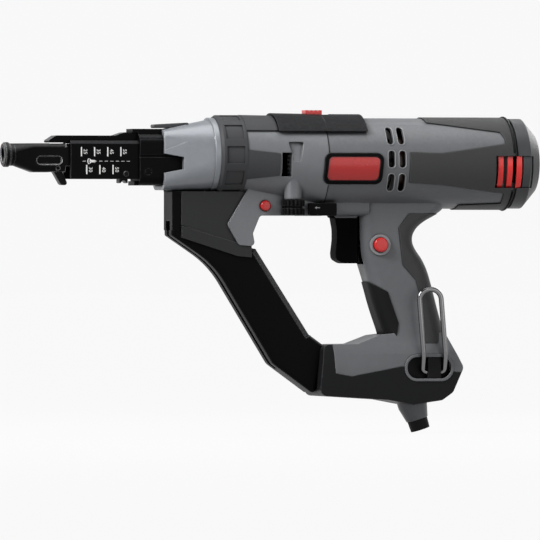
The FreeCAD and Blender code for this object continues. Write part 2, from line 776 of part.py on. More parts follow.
def motor_hollow():
    """The space inside the motor housing, with its stator ribs left standing."""
    radius = MOTOR_RADIUS - HOUSING_WALL
    space = rod_x(MOTOR_FRONT - OVERRUN, REAR_WEB, radius, MOTOR_HEIGHT)
    rib_places = (STATOR_START, STATOR_START + STATOR_LENGTH - RIB_THICKNESS)
    ribs = [
        tube_x(x, x + RIB_THICKNESS, radius + OVERRUN, STATOR_RADIUS + RUN_FIT, MOTOR_HEIGHT)
        for x in rib_places
    ]
    seat = rod_x(REAR_WEB - OVERRUN, REAR_WEB + BEARING_WIDTH, BEARING_RADIUS + RUN_FIT, MOTOR_HEIGHT)
    shaft_hole = rod_x(REAR_WEB, MOTOR_REAR + OVERRUN, SHAFT_RADIUS + SLIDE_GAP, MOTOR_HEIGHT)
    return [space.cut(ribs), seat, shaft_hole]


def trigger_well():
    """The opening in the grip's front for the trigger."""
    half = TRIGGER_WIDTH / 2 + SLIDE_GAP
    rear = TRIGGER_FRONT + TRIGGER_DEPTH + TRIGGER_TRAVEL + SLIDE_GAP
    return block(TRIGGER_FRONT, rear, -half, half, TRIGGER_WELL_FLOOR, NECK_BOTTOM)


def lever_slot():
    """The slot across the neck that the direction lever swings in."""
    half = LEVER_BAR_LENGTH / 2 + NECK_WIDTH / 2 * math.sin(math.radians(LEVER_SWING)) + SLIDE_GAP
    tall = LEVER_BAR_HEIGHT / 2 + SLIDE_GAP
    bar = block(
        LEVER_X - half, LEVER_X + half, -NECK_WIDTH, NECK_WIDTH, LEVER_HEIGHT - tall, LEVER_HEIGHT + tall
    )
    pin = rod_z(NECK_BOTTOM - OVERRUN, LEVER_HEIGHT, LEVER_PIN_RADIUS + RUN_FIT, LEVER_X, 0)
    return [bar, pin]


def lock_bore():
    """The bore for the lock-on button."""
    depth = -GRIP_WIDTH / 2 + LOCK_STEM + LOCK_TRAVEL
    return rod_y(-GRIP_WIDTH, depth, LOCK_RADIUS + SLIDE_GAP, LOCK_X, LOCK_HEIGHT)


def screw_places():
    """Where the housing screws go, in side view."""
    return [
        (NECK_REAR - SCREW_INSET, NECK_BOTTOM + SCREW_RISE),
        (BASE_FRONT + BASE_LENGTH * SCREW_BASE_SHARE, BASE_FLOOR + BASE_HEIGHT - SCREW_INSET),
    ]


def housing_screws():
    """The screws that hold the two housing halves together, put in from the right."""
    screws = []
    for x, z in screw_places():
        y = NECK_WIDTH / 2 - SCREW_HEAD_HEIGHT
        head = rod_y(y, y + SCREW_HEAD_HEIGHT, SCREW_HEAD_RADIUS, x, z)
        screws.append(fused(head, rod_y(y - SCREW_LENGTH, y, SCREW_RADIUS, x, z)))
    return Part.makeCompound(screws)


def screw_wells():
    """The wells and bores for the housing screws."""
    wells = []
    for x, z in screw_places():
        y = NECK_WIDTH / 2 - SCREW_HEAD_HEIGHT
        wells.append(rod_y(y, BASE_WIDTH, SCREW_WELL_RADIUS, x, z))
        wells.append(rod_y(y - SCREW_LENGTH, y, SCREW_RADIUS + RUN_FIT, x, z))
    return wells


def housing():
    """The motor housing, neck, grip and upper base as one hollow moulding."""
    base_top = base_form().cut(shoe_cutter())
    outer = fused(motor_form(0), neck_form(), grip_form(0), base_top)
    cuts = motor_hollow() + vent_slots() + lever_slot()
    cuts += [grip_form(-GRIP_WALL), trigger_well(), lock_bore()]
    cuts += [motor_panel(), rear_grip_panel(), front_grip_panel()]
    cuts += [hook_recess(), hook_rim_seat(), bush_solid(0), lock_ring(), badge_piece(0, BADGE_LIFT)]
    cuts += fin_windows() + screw_wells()
    return outer.cut(cuts)


def rear_grip_panel():
    """The soft panel on the back of the grip."""
    return grip_panel(GRIP_PANEL_X_SHARES, GRIP_PANEL_Z_SHARES)


def front_grip_panel():
    """The soft panel under the fingers."""
    return grip_panel(FRONT_PANEL_X_SHARES, FRONT_PANEL_Z_SHARES)


def half_of(solid, side):
    """The left (-1) or right (+1) half of a moulding that is split down the middle."""
    box = solid.BoundBox
    y0, y1 = (box.YMin - OVERRUN, 0) if side < 0 else (0, box.YMax + OVERRUN)
    keep = block(
        box.XMin - OVERRUN, box.XMax + OVERRUN, y0, y1, box.ZMin - OVERRUN, box.ZMax + OVERRUN
    )
    return solid.common(keep)


def lock_ring():
    """The raised ring round the lock-on button."""
    y0 = -GRIP_WIDTH / 2 - LOCK_RING_LIFT
    ring = rod_y(y0, -GRIP_WIDTH / 2 + PANEL_SINK, LOCK_RING_RADIUS, LOCK_X, LOCK_HEIGHT)
    return ring.cut(rod_y(-GRIP_WIDTH, 0, LOCK_RADIUS + SLIDE_GAP, LOCK_X, LOCK_HEIGHT))


def hook_slot(grow, out, inner):
    """A rounded slot shape on the base's left side, between two heights off its face."""
    x0 = HOOK_X - HOOK_RECESS_FRONT
    x1 = x0 + HOOK_RECESS_LENGTH
    z0 = HOOK_FOOT_HEIGHT - HOOK_WIRE_RADIUS - HOOK_FOOT_ROOM
    z1 = z0 + HOOK_RECESS_HEIGHT
    outline = [(x0 - grow, z0 - grow), (x1 + grow, z0 - grow), (x1 + grow, z1 + grow), (x0 - grow, z1 + grow)]
    face = -BASE_WIDTH / 2
    return slab(outline, face - out, face + inner, HOOK_RECESS_ROUND + grow)


def hook_recess():
    """The rounded recess that the hook's feet lie in."""
    return hook_slot(0, OVERRUN, HOOK_RECESS_DEPTH)


def hook_rim_seat():
    """The shallow seat for the rim round the hook's recess."""
    return hook_slot(HOOK_RIM_WIDTH, HOOK_RIM_LIFT, HOOK_RIM_SINK)


def hook_rim():
    """The rim round the hook's recess."""
    return hook_rim_seat().cut(hook_recess())


def hook_pad():
    """The black inlay in the recess, with the boss that holds the hook's two pins."""
    floor = HOOK_RECESS_DEPTH - HOOK_PAD_THICKNESS
    half = HOOK_SPREAD / 2 - HOOK_WIRE_RADIUS - HOOK_BOSS_GAP
    sheet = hook_slot(0, -floor, HOOK_RECESS_DEPTH)
    boss_space = block(HOOK_X - half, HOOK_X + half, -BASE_WIDTH, 0, BASE_FLOOR, 0)
    boss = hook_slot(0, 0, HOOK_RECESS_DEPTH).common(boss_space)
    bore_radius = HOOK_WIRE_RADIUS + RUN_FIT
    bore = rod_x(HOOK_X - 2 * half, HOOK_X + 2 * half, bore_radius, HOOK_FOOT_HEIGHT, hook_pivot_y())
    return fused(sheet, boss).cut(bore)


def hook_pivot_y():
    """How far out the hook's pivot lies."""
    floor = -BASE_WIDTH / 2 + HOOK_RECESS_DEPTH - HOOK_PAD_THICKNESS
    return floor - HOOK_WIRE_RADIUS - SLIDE_GAP


def bent_path(points, radius):
    """An open wire through points with every inner corner rounded."""
    edges = []
    previous = points[0]
    for index in range(1, len(points) - 1):
        here = points[index]
        to_before = points[index - 1] - here
        to_after = points[index + 1] - here
        shorter = min(to_before.Length, to_after.Length)
        half_turn = to_before.getAngle(to_after) / 2
        bend = min(radius, ROUND_LIMIT_SHARE * shorter * math.tan(half_turn))
        to_before.normalize()
        to_after.normalize()
        reach = bend / math.tan(half_turn)
        inward = (to_before + to_after).normalize()
        middle = here + inward * (bend / math.sin(half_turn) - bend)
        first = here + to_before * reach
        last = here + to_after * reach
        edges.append(Part.LineSegment(previous, first).toShape())
        edges.append(Part.Arc(first, middle, last).toShape())
        previous = last
    edges.append(Part.LineSegment(previous, points[-1]).toShape())
    return Part.Wire(edges)


def wire_hook():
    """The bent wire hook that swings out from the base's left side."""
    half = HOOK_SPREAD / 2
    pin = half - HOOK_PIN_REACH
    out = -BASE_WIDTH / 2 - HOOK_STANDOFF
    low = HOOK_FOOT_HEIGHT
    knee = low + HOOK_KNEE_RISE
    top = low + HOOK_LENGTH
    pivot = hook_pivot_y()
    knee_lean = HOOK_LEAN * HOOK_KNEE_RISE / HOOK_LENGTH
    points = [
        vec(HOOK_X - pin, pivot, low),
        vec(HOOK_X - half, pivot, low),
        vec(HOOK_X - half - knee_lean, out, knee),
        vec(HOOK_X - half - HOOK_LEAN, out, top),
        vec(HOOK_X + half - HOOK_LEAN, out, top),
        vec(HOOK_X + half - knee_lean, out, knee),
        vec(HOOK_X + half, pivot, low),
        vec(HOOK_X + pin, pivot, low),
    ]
    path = bent_path(points, HOOK_BEND_RADIUS)
    profile = Part.Wire(Part.Circle(points[0], ALONG_X, HOOK_WIRE_RADIUS).toShape())
    return path.makePipeShell([profile], True, False)


def tilted(solid):
    """A cord piece leaned from upright to the cord's direction, about the bush's mouth."""
    solid.rotate(vec(BUSH_X, 0, BASE_FLOOR), ALONG_Y, -BUSH_TILT)
    return solid


def bush_solid(bore):
    """The cord bush, sunk into the base, with a bore through it where one is given."""
    sunk = rod_z(BASE_FLOOR, BASE_FLOOR + BUSH_SINK, BUSH_RADIUS, BUSH_X, 0)
    cone = Part.makeCone(
        BUSH_END_RADIUS, BUSH_RADIUS, BUSH_LENGTH, vec(BUSH_X, 0, BASE_FLOOR - BUSH_LENGTH), ALONG_Z
    )
    body = fused(sunk, cone)
    if bore > 0:
        body = body.cut(rod_z(BASE_FLOOR - 2 * BUSH_LENGTH, BASE_FLOOR + BUSH_LENGTH, bore, BUSH_X, 0))
    return tilted(body)


def base_shoe():
    """The dark lower part of the base."""
    shoe = base_form().common(shoe_cutter())
    return shoe.cut([grip_form(0), hook_recess(), hook_rim_seat(), bush_solid(0)])


# Gear case, collar and front barrel


def case_form(grow):
    """The gear case's round body, from the collar to the motor housing."""
    front = CASE_FRONT_RADIUS + grow
    rear = MOTOR_RADIUS + grow
    wires = [
        cross_section(CASE_FRONT, front, DRIVE_HEIGHT - front, DRIVE_HEIGHT + front, front),
        cross_section(MOTOR_FRONT, rear, MOTOR_HEIGHT - rear, MOTOR_HEIGHT + rear, rear),
    ]
    return Part.makeLoft(wires, True, True)


def strut_form():
    """The arm under the gear case that reaches forward to the track."""
    half = STRUT_WIDTH / 2
    xs = [-share for share in STRUT_X_SHARES]
    zs = [STRUT_NECK_SHARE - share for share in STRUT_Z_SHARES]
    outline = shares_to_points(xs, zs, MOTOR_FRONT, STRUT_REACH, NECK_BOTTOM, STRUT_DROP)
    return slab(outline, -half, half, STRUT_ROUND)


def feed_passage(rear):
    """The space that the feed block slides in, back to a station inside the tool."""
    half_height = BLOCK_HEIGHT / 2 + SLIDE_GAP
    body = passage(
        BARREL_FRONT - OVERRUN,
        rear,
        BLOCK_WIDTH / 2 + SLIDE_GAP,
        BLOCK_MIDDLE - half_height,
        BLOCK_MIDDLE + half_height,
        BLOCK_ROUND + SLIDE_GAP,
    )
    cap_rear = BLOCK_FRONT - BLOCK_CAP_OVERHANG + BLOCK_CAP_LENGTH + FEED_STROKE + SLIDE_GAP
    half_cap = BLOCK_CAP_WIDTH / 2 + SLIDE_GAP
    cap_top = BLOCK_MIDDLE + BLOCK_HEIGHT / 2 + BLOCK_CAP_RISE + SLIDE_GAP
    cap = block(BARREL_FRONT - OVERRUN, cap_rear, -half_cap, half_cap, BLOCK_MIDDLE, cap_top)
    return fused(body, cap)


def gear_hollow():
    """The spaces for the gears, the spindle bearing and the countershaft bush."""
    first_tip = FIRST_MODULE * (FIRST_GEAR_TEETH / 2 + ADDENDUM_SHARE) + GEAR_ROOM
    second_tip = SECOND_MODULE * (SECOND_GEAR_TEETH / 2 + ADDENDUM_SHARE) + GEAR_ROOM
    rear = MOTOR_FRONT + OVERRUN
    return [
        rod_x(BULKHEAD_REAR, rear, second_tip, DRIVE_HEIGHT),
        rod_x(BULKHEAD_REAR, rear, first_tip, COUNTER_HEIGHT),
        rod_x(
            BULKHEAD_REAR - SPINDLE_BEARING_WIDTH,
            BULKHEAD_REAR + OVERRUN,
            SPINDLE_BEARING_RADIUS + RUN_FIT,
            DRIVE_HEIGHT,
        ),
        rod_x(BULKHEAD_FRONT - OVERRUN, BULKHEAD_REAR, HOLDER_RADIUS + SLIDE_GAP, DRIVE_HEIGHT),
        rod_x(
            BULKHEAD_REAR - COUNTER_BUSH_LENGTH,
            BULKHEAD_REAR + OVERRUN,
            COUNTER_BUSH_RADIUS + RUN_FIT,
            COUNTER_HEIGHT,
        ),
    ]


def depth_hollow():
    """The bore for the depth worm, its window and the thumbwheel's pocket."""
    wheel_top = WHEEL_BOTTOM + WHEEL_HEIGHT + SLIDE_GAP
    worm_top = WORM_BOTTOM + WORM_TEETH * WORM_PITCH + SLIDE_GAP
    bore = rod_z(WHEEL_BOTTOM, worm_top, WORM_RADIUS + SLIDE_GAP, PILLAR_X, PILLAR_Y)
    pocket = rod_z(NECK_BOTTOM - OVERRUN, wheel_top, WHEEL_RADIUS + SLIDE_GAP, PILLAR_X, PILLAR_Y)
    window_rear = PILLAR_X - WORM_CORE_RADIUS
    window = block(
        window_rear - WINDOW_LENGTH,
        window_rear,
        -2 * MOTOR_RADIUS,
        PILLAR_Y + WORM_RADIUS,
        worm_top - WINDOW_HEIGHT,
        worm_top,
    )
    return [bore, pocket, window]


def case_scoop():
    """The tapered scoop over the depth pillar on the case's left side."""
    bottom = SCOOP_TOP - SCOOP_HEIGHT
    outline = [
        (SCOOP_X - SCOOP_TOP_LENGTH / 2, SCOOP_TOP),
        (SCOOP_X + SCOOP_TOP_LENGTH / 2, SCOOP_TOP),
        (SCOOP_X + SCOOP_END_LENGTH / 2, bottom),
        (SCOOP_X - SCOOP_END_LENGTH / 2, bottom),
    ]
    x0 = SCOOP_X - SCOOP_TOP_LENGTH
    far = -2 * MOTOR_RADIUS
    corners = [
        (far, bottom),
        (-SCOOP_END_HALF_WIDTH, bottom),
        (-SCOOP_TOP_HALF_WIDTH, SCOOP_TOP),
        (far, SCOOP_TOP),
    ]
    points = [vec(x0, y, z) for y, z in corners + corners[:1]]
    wedge = Part.Face(Part.makePolygon(points)).extrude(vec(2 * SCOOP_TOP_LENGTH, 0, 0))
    return slab(outline, far, 0, EDGE_ROUND).common(wedge)


def release_bore():
    """The bore for the red release button."""
    y0 = -STRUT_WIDTH / 2
    depth = RELEASE_STEM + RELEASE_TRAVEL
    return rod_y(y0 - OVERRUN, y0 + depth, RELEASE_RADIUS + SLIDE_GAP, RELEASE_X, RELEASE_HEIGHT)


def gear_case():
    """The cast gear case with its strut and depth pillar."""
    pillar_foot = WHEEL_BOTTOM + WHEEL_HEIGHT + SLIDE_GAP
    pillar = rod_z(pillar_foot, PILLAR_TOP, PILLAR_RADIUS, PILLAR_X, PILLAR_Y)
    outer = fused(case_form(0), strut_form(), pillar)
    cuts = gear_hollow() + depth_hollow() + lever_slot()
    cuts += [release_bore(), feed_passage(BULKHEAD_FRONT), case_scoop(), badge_piece(0, BADGE_LIFT)]
    return outer.cut(cuts)


def collar_form():
    """The collar ring's outer body."""
    profile = [
        (COLLAR_FRONT, 0),
        (COLLAR_FRONT, COLLAR_FRONT_RADIUS),
        (COLLAR_FRONT + OVERRUN, COLLAR_RADIUS),
        (CASE_FRONT, COLLAR_RADIUS),
        (CASE_FRONT, 0),
    ]
    return turned(profile, DRIVE_HEIGHT)


def collar_panels():
    """The shallow panels let into the collar's rim."""
    x0 = COLLAR_FRONT + COLLAR_LENGTH * PANEL_FRONT_SHARE
    x1 = CASE_FRONT - COLLAR_LENGTH * PANEL_REAR_SHARE
    band = tube_x(x0, x1, COLLAR_RADIUS + OVERRUN, COLLAR_RADIUS - COLLAR_PANEL_DEPTH, DRIVE_HEIGHT)
    ribs = []
    for index in range(COLLAR_RIB_COUNT):
        half = COLLAR_RIB_WIDTH / 2
        rib = block(x0, x1, -half, half, DRIVE_HEIGHT, DRIVE_HEIGHT + 2 * COLLAR_RADIUS)
        rib.rotate(vec(0, 0, DRIVE_HEIGHT), ALONG_X, 360 * index / COLLAR_RIB_COUNT)
        ribs.append(rib)
    return band.cut(ribs)


def collar():
    """The black collar with its saddle on the gear case and its side tongue."""
    ring = collar_form().cut([collar_panels(), feed_passage(CASE_FRONT + OVERRUN)])
    top = DRIVE_HEIGHT + CASE_FRONT_RADIUS
    saddle_box = block(CASE_FRONT, TOP_PLATE_FRONT, -MOTOR_RADIUS, MOTOR_RADIUS, top - SADDLE_DROP, 2 * top)
    tongue_outline = [
        (CASE_FRONT, DRIVE_HEIGHT - TONGUE_DROP - TONGUE_HEIGHT / 2),
        (CASE_FRONT + TONGUE_LENGTH, DRIVE_HEIGHT - TONGUE_DROP - TONGUE_END_HEIGHT / 2),
        (CASE_FRONT + TONGUE_LENGTH, DRIVE_HEIGHT - TONGUE_DROP + TONGUE_END_HEIGHT / 2),
        (CASE_FRONT, DRIVE_HEIGHT - TONGUE_DROP + TONGUE_HEIGHT / 2),
    ]
    tongue_box = slab(tongue_outline, -2 * MOTOR_RADIUS, 0)
    window = depth_hollow()[-1]
    saddle = case_form(SADDLE_LIFT).cut(case_form(0)).common(saddle_box)
    tongue = case_form(TONGUE_LIFT).cut(case_form(0)).common(tongue_box)
    pillar = rod_z(0, PILLAR_TOP, PILLAR_RADIUS, PILLAR_X, PILLAR_Y)
    return fused(ring, saddle, tongue.cut([window, pillar]))


def barrel_form():
    """The silver barrel from its round rear to its squarer front."""
    half_width = BARREL_FRONT_WIDTH / 2
    half_height = BARREL_FRONT_HEIGHT / 2
    middle = DRIVE_HEIGHT - BARREL_FRONT_DROP
    rear = BARREL_REAR_RADIUS
    wires = [
        cross_section(
            BARREL_FRONT, half_width, middle - half_height, middle + half_height, BARREL_FRONT_ROUND
        ),
        cross_section(COLLAR_FRONT, rear, DRIVE_HEIGHT - rear, DRIVE_HEIGHT + rear, rear),
    ]
    return Part.makeLoft(wires, True, True)


def barrel_notch():
    """The tapered notch in both sides of the barrel's front."""
    middle = DRIVE_HEIGHT - NOTCH_DROP
    outline = [
        (BARREL_FRONT - OVERRUN, middle - NOTCH_MOUTH / 2),
        (BARREL_FRONT + NOTCH_DEPTH, middle - NOTCH_END / 2),
        (BARREL_FRONT + NOTCH_DEPTH, middle + NOTCH_END / 2),
        (BARREL_FRONT - OVERRUN, middle + NOTCH_MOUTH / 2),
    ]
    return slab(outline, -BARREL_FRONT_WIDTH, BARREL_FRONT_WIDTH)


def latch_place():
    """The latch bar's front end, pivot station and underside."""
    front = BARREL_FRONT - LATCH_OVERHANG
    pivot = front + LATCH_LENGTH - LATCH_HEIGHT / 2
    bottom = BLOCK_MIDDLE + BLOCK_HEIGHT / 2 + BLOCK_CAP_RISE + LATCH_GAP
    return front, pivot, bottom


def latch_bar():
    """The bar that lies on the barrel and lifts about its rear end."""
    front, pivot, bottom = latch_place()
    half = LATCH_WIDTH / 2
    middle = bottom + LATCH_HEIGHT / 2
    outline = [
        (front, bottom),
        (pivot, bottom),
        (pivot, bottom + LATCH_HEIGHT),
        (front, bottom + LATCH_TIP_HEIGHT),
    ]
    bar = slab(outline, -half, half, [EDGE_ROUND, 0, 0, EDGE_ROUND])
    knuckle = rod_y(-half, half, LATCH_HEIGHT / 2, pivot, middle)
    pin = rod_y(-half - LATCH_PIN_REACH, half + LATCH_PIN_REACH, LATCH_PIN_RADIUS, pivot, middle)
    return fused(bar, knuckle, pin)


def latch_pocket():
    """The recess in the barrel's top for the latch bar and its pin."""
    front, pivot, bottom = latch_place()
    half = LATCH_WIDTH / 2 + SLIDE_GAP
    middle = bottom + LATCH_HEIGHT / 2
    rear = pivot + LATCH_HEIGHT / 2 + SLIDE_GAP
    well = block(front, rear, -half, half, bottom - SLIDE_GAP, bottom + BARREL_FRONT_HEIGHT)
    reach = LATCH_WIDTH / 2 + LATCH_PIN_REACH + SLIDE_GAP
    return fused(well, rod_y(-reach, reach, LATCH_PIN_RADIUS + RUN_FIT, pivot, middle))


def barrel_flutes():
    """The shallow pointed flute on each upper arm of the barrel."""
    front = BARREL_FRONT - OVERRUN
    tip = BARREL_FRONT + FLUTE_LENGTH
    bottom = DRIVE_HEIGHT + FLUTE_BOTTOM_RISE
    top = DRIVE_HEIGHT + FLUTE_TOP_RISE
    side = slab([(front, bottom), (tip, top), (front, top)], -BARREL_FRONT_WIDTH, 0)
    floor = -BARREL_FRONT_WIDTH / 2 + FLUTE_DEPTH
    far = -BARREL_FRONT_WIDTH
    corners = [(front, floor), (tip, -FLUTE_END_HALF_WIDTH), (tip, far), (front, far), (front, floor)]
    points = [vec(x, y, bottom) for x, y in corners]
    wedge = Part.Face(Part.makePolygon(points)).extrude(vec(0, 0, top - bottom))
    left = side.common(wedge)
    return [left, mirrored(left)]


def barrel_rim():
    """The raised band round the barrel's rear end."""
    radius = BARREL_REAR_RADIUS + BARREL_RIM_LIFT
    return rod_x(COLLAR_FRONT - BARREL_RIM_LENGTH, COLLAR_FRONT, radius, DRIVE_HEIGHT)


def barrel():
    """The silver barrel that guides the feed block."""
    cuts = [feed_passage(COLLAR_FRONT + OVERRUN), barrel_notch(), latch_pocket()]
    return fused(barrel_form(), barrel_rim()).cut(cuts + barrel_flutes())


# Strip track and bracket


def track_points(x_shares, z_shares):
    """Outline points of the track or its bracket."""
    zs = [-share for share in z_shares]
    return shares_to_points(x_shares, zs, TRACK_FRONT, TRACK_REACH, TRACK_TOP, TRACK_DROP)


def track_groove():
    """The T-shaped groove along the track's outer edge, which holds the strip by its screw heads."""
    points = track_points(TRACK_X_SHARES, TRACK_Z_SHARES)
    start, corner, knee, foot = [vec(x, 0, z) for x, z in points[:4]]
    bottom = vec(points[4][0], 0, points[4][1])
    guide = [start, corner, knee, foot, bottom]
    grooves = []
    for width, near, far in (
        (GROOVE_SLIT, -OVERRUN, GROOVE_LIP + EDGE_ROUND),
        (GROOVE_WIDTH, GROOVE_LIP, GROOVE_LIP + GROOVE_DEPTH),
    ):
        outer = edge_offset(guide[1:4], near)
        inner = edge_offset(guide[1:4], far)
        outline = outer + inner[::-1]
        rounds = [0, TRACK_KNEE_RADIUS, 0, 0, TRACK_KNEE_RADIUS, 0]
        grooves.append(slab([(p.x, p.z) for p in outline], -width / 2, width / 2, rounds))
    return grooves


def edge_offset(points, inward):
    """Three points of the track's edge moved towards its inside."""
    first, knee, last = points
    along_first = (knee - first).normalize()
    along_last = (last - knee).normalize()
    side_first = vec(-along_first.z, 0, along_first.x)
    side_last = vec(-along_last.z, 0, along_last.x)
    side_knee = (side_first + side_last).normalize()
    stretch = inward / side_knee.dot(side_first)
    start = first + side_first * inward - along_first * GROOVE_RUNOUT
    end = last + side_last * inward + along_last * GROOVE_RUNOUT
    return [start, knee + side_knee * stretch, end]


def track_body():
    """The track's full form, before its edges are dressed."""
    half = TRACK_WIDTH / 2
    rounds = [TRACK_KNEE_RADIUS * share for share in TRACK_CORNER_SHARES]
    return slab(track_points(TRACK_X_SHARES, TRACK_Z_SHARES), -half, half, rounds)


def track_bevels(half):
    """The two wedges that bevel the long inner edge of the track."""
    corners = track_points(TRACK_X_SHARES, TRACK_Z_SHARES)[TRACK_INNER_INDEX:TRACK_INNER_INDEX + 2]
    lower, upper = [vec(x, 0, z) for x, z in corners]
    outward = vec(upper.z - lower.z, 0, lower.x - upper.x).normalize()
    near = half - TRACK_BEVEL - OVERRUN
    far = half + OVERRUN
    profile = [(OVERRUN, near), (OVERRUN, far), (-TRACK_BEVEL - OVERRUN, far), (OVERRUN, near)]
    points = [lower + outward * reach + ALONG_Y * y for reach, y in profile]
    wedge = Part.Face(Part.makePolygon(points)).extrude(upper - lower)
    return [wedge, mirrored(wedge)]


def strip_track():
    """The curved brace that carries the screw strip from the base to the nose."""
    half = TRACK_WIDTH / 2
    body = track_body()
    body = round_off(body, TRACK_ROUND, lies_at_sides(half)).cut(track_bevels(half))
    post_bottom = TRACK_TOP - TRACK_DROP * TRACK_POST_SHARE
    post = block(TRACK_FRONT, TRACK_FRONT + TRACK_POST_LENGTH, -half, half, post_bottom, TRACK_TOP)
    return fused(body, post).cut(track_groove() + [base_form(), strut_form()])


def track_bracket():
    """The plate that joins the track's upper end to the barrel and the strut."""
    half = BRACKET_WIDTH / 2
    plate = slab(track_points(BRACKET_X_SHARES, BRACKET_Z_SHARES), -half, half)
    band_half = BRACKET_BAND_WIDTH / 2
    band = slab(track_points(BRACKET_BAND_X_SHARES, BRACKET_BAND_Z_SHARES), -band_half, band_half)
    around = [barrel_form(), barrel_rim(), collar_form(), case_form(0), strut_form(), track_body()]
    return fused(plate, band).cut(around)


# Rear cap and its red vent fins


def fin_windows():
    """The vent openings in both sides of the motor's rear."""
    x1 = FIN_WINDOW_FRONT + FIN_WINDOW_LENGTH
    z1 = FIN_WINDOW_BOTTOM + FIN_WINDOW_HEIGHT
    y0 = -MOTOR_RADIUS - OVERRUN
    left = block(FIN_WINDOW_FRONT, x1, y0, -MOTOR_RADIUS + FIN_WINDOW_DEPTH, FIN_WINDOW_BOTTOM, z1)
    return [left, mirrored(left)]


def vent_fins():
    """The upright red fins in the vent openings."""
    outer = MOTOR_RADIUS - FIN_INSET
    pitch = FIN_WINDOW_LENGTH / FIN_COUNT
    width = pitch * FIN_WIDTH_SHARE
    fins = []
    for index in range(FIN_COUNT):
        x0 = FIN_WINDOW_FRONT + (index + FIN_WIDTH_SHARE / 2) * pitch
        fins.append(tube_x(x0, x0 + width, outer, outer - FIN_THICKNESS, MOTOR_HEIGHT))
    windows = fin_windows()
    return Part.makeCompound([fin.common(window) for fin in fins for window in windows])


def cap_form(shrink):
    """The rear cap's outer form."""
    rear = MOTOR_REAR + CAP_LENGTH - shrink
    body = CAP_RADIUS - shrink
    neck = CAP_RADIUS - CAP_GROOVE_DEPTH - shrink
    step = MOTOR_REAR + CAP_GROOVE_LENGTH + shrink
    profile = [
        (MOTOR_REAR, 0),
        (MOTOR_REAR, neck),
        (step, neck),
        (step, body),
        (MOTOR_REAR + CAP_LENGTH - CAP_BEVEL_LENGTH, body),
        (rear, CAP_FLAT_RADIUS - shrink),
        (rear, 0),
    ]
    return turned(profile, MOTOR_HEIGHT)


def insert_box():
    """The space of the grey inserts behind the vent fins, on both sides."""
    x0 = FIN_WINDOW_FRONT + FIN_WINDOW_LENGTH
    z1 = FIN_WINDOW_BOTTOM + FIN_WINDOW_HEIGHT
    left = block(x0, x0 + INSERT_LENGTH, -2 * CAP_RADIUS, -CAP_RADIUS / 2, FIN_WINDOW_BOTTOM, z1)
    return [left, mirrored(left)]


def cap_inserts():
    """The grey strips set into the cap behind the vents."""
    skin = cap_form(INSERT_INSET).cut(cap_form(CAP_WALL))
    return Part.makeCompound([skin.common(box) for box in insert_box()])


def rear_cap():
    """The hollow cap over the rear bearing."""
    return cap_form(0).cut([cap_form(CAP_WALL)] + fin_windows() + insert_box())


# Feed block, scale plates, rail and nosepiece


def feed_block():
    """The block that carries the nose and slides back into the barrel."""
    bottom = BLOCK_MIDDLE - BLOCK_HEIGHT / 2
    top = BLOCK_MIDDLE + BLOCK_HEIGHT / 2
    body = passage(BLOCK_FRONT, BLOCK_TAIL, BLOCK_WIDTH / 2, bottom, top, BLOCK_ROUND)
    cap_front = BLOCK_FRONT - BLOCK_CAP_OVERHANG
    cap_rear = cap_front + BLOCK_CAP_LENGTH
    half = BLOCK_CAP_WIDTH / 2
    rail_top = DRIVE_HEIGHT + RAIL_RISE + RAIL_HEIGHT
    cap = block(BLOCK_FRONT, cap_rear, -half, half, BLOCK_MIDDLE, top + BLOCK_CAP_RISE)
    brow = block(cap_front, cap_rear, -half, half, rail_top, top + BLOCK_CAP_RISE)
    lip_half = BLOCK_LIP_WIDTH / 2
    lip = block(
        BLOCK_FRONT - BLOCK_LIP_REACH,
        BLOCK_FRONT + OVERRUN,
        -lip_half,
        lip_half,
        bottom,
        bottom + BLOCK_LIP_HEIGHT,
    )
    solid = fused(body, cap, brow, lip)
    bore = rod_x(BLOCK_FRONT - OVERRUN, BLOCK_TAIL, BIT_BORE_RADIUS, DRIVE_HEIGHT)
    pocket = rod_x(
        BLOCK_TAIL - SPRING_POCKET_DEPTH, BLOCK_TAIL + OVERRUN, SPRING_POCKET_RADIUS, DRIVE_HEIGHT
    )
    return solid.cut([bore, pocket] + block_lines())


def block_lines():
    """The grooves along both sides of the feed block and round its side screws."""
    face = -BLOCK_WIDTH / 2
    bottom = BLOCK_MIDDLE - BLOCK_HEIGHT / 2
    front = BLOCK_FRONT - OVERRUN
    rear = BLOCK_TAIL + OVERRUN
    lines = []
    for share in BLOCK_LINE_SHARES:
        z0 = bottom + share * BLOCK_HEIGHT
        z1 = z0 + BLOCK_LINE_HEIGHT
        lines.append(block(front, rear, face - OVERRUN, face + BLOCK_LINE_DEPTH, z0, z1))
    screw_z = bottom + BLOCK_SCREW_RISE
    outer = BLOCK_SCREW_RADIUS + BLOCK_SCREW_GROOVE
    ring = rod_y(face - OVERRUN, face + BLOCK_SCREW_DEPTH, outer, BLOCK_SCREW_X, screw_z)
    lines.append(ring.cut(rod_y(face - OVERRUN, 0, BLOCK_SCREW_RADIUS, BLOCK_SCREW_X, screw_z)))
    return lines + [mirrored(line) for line in lines]


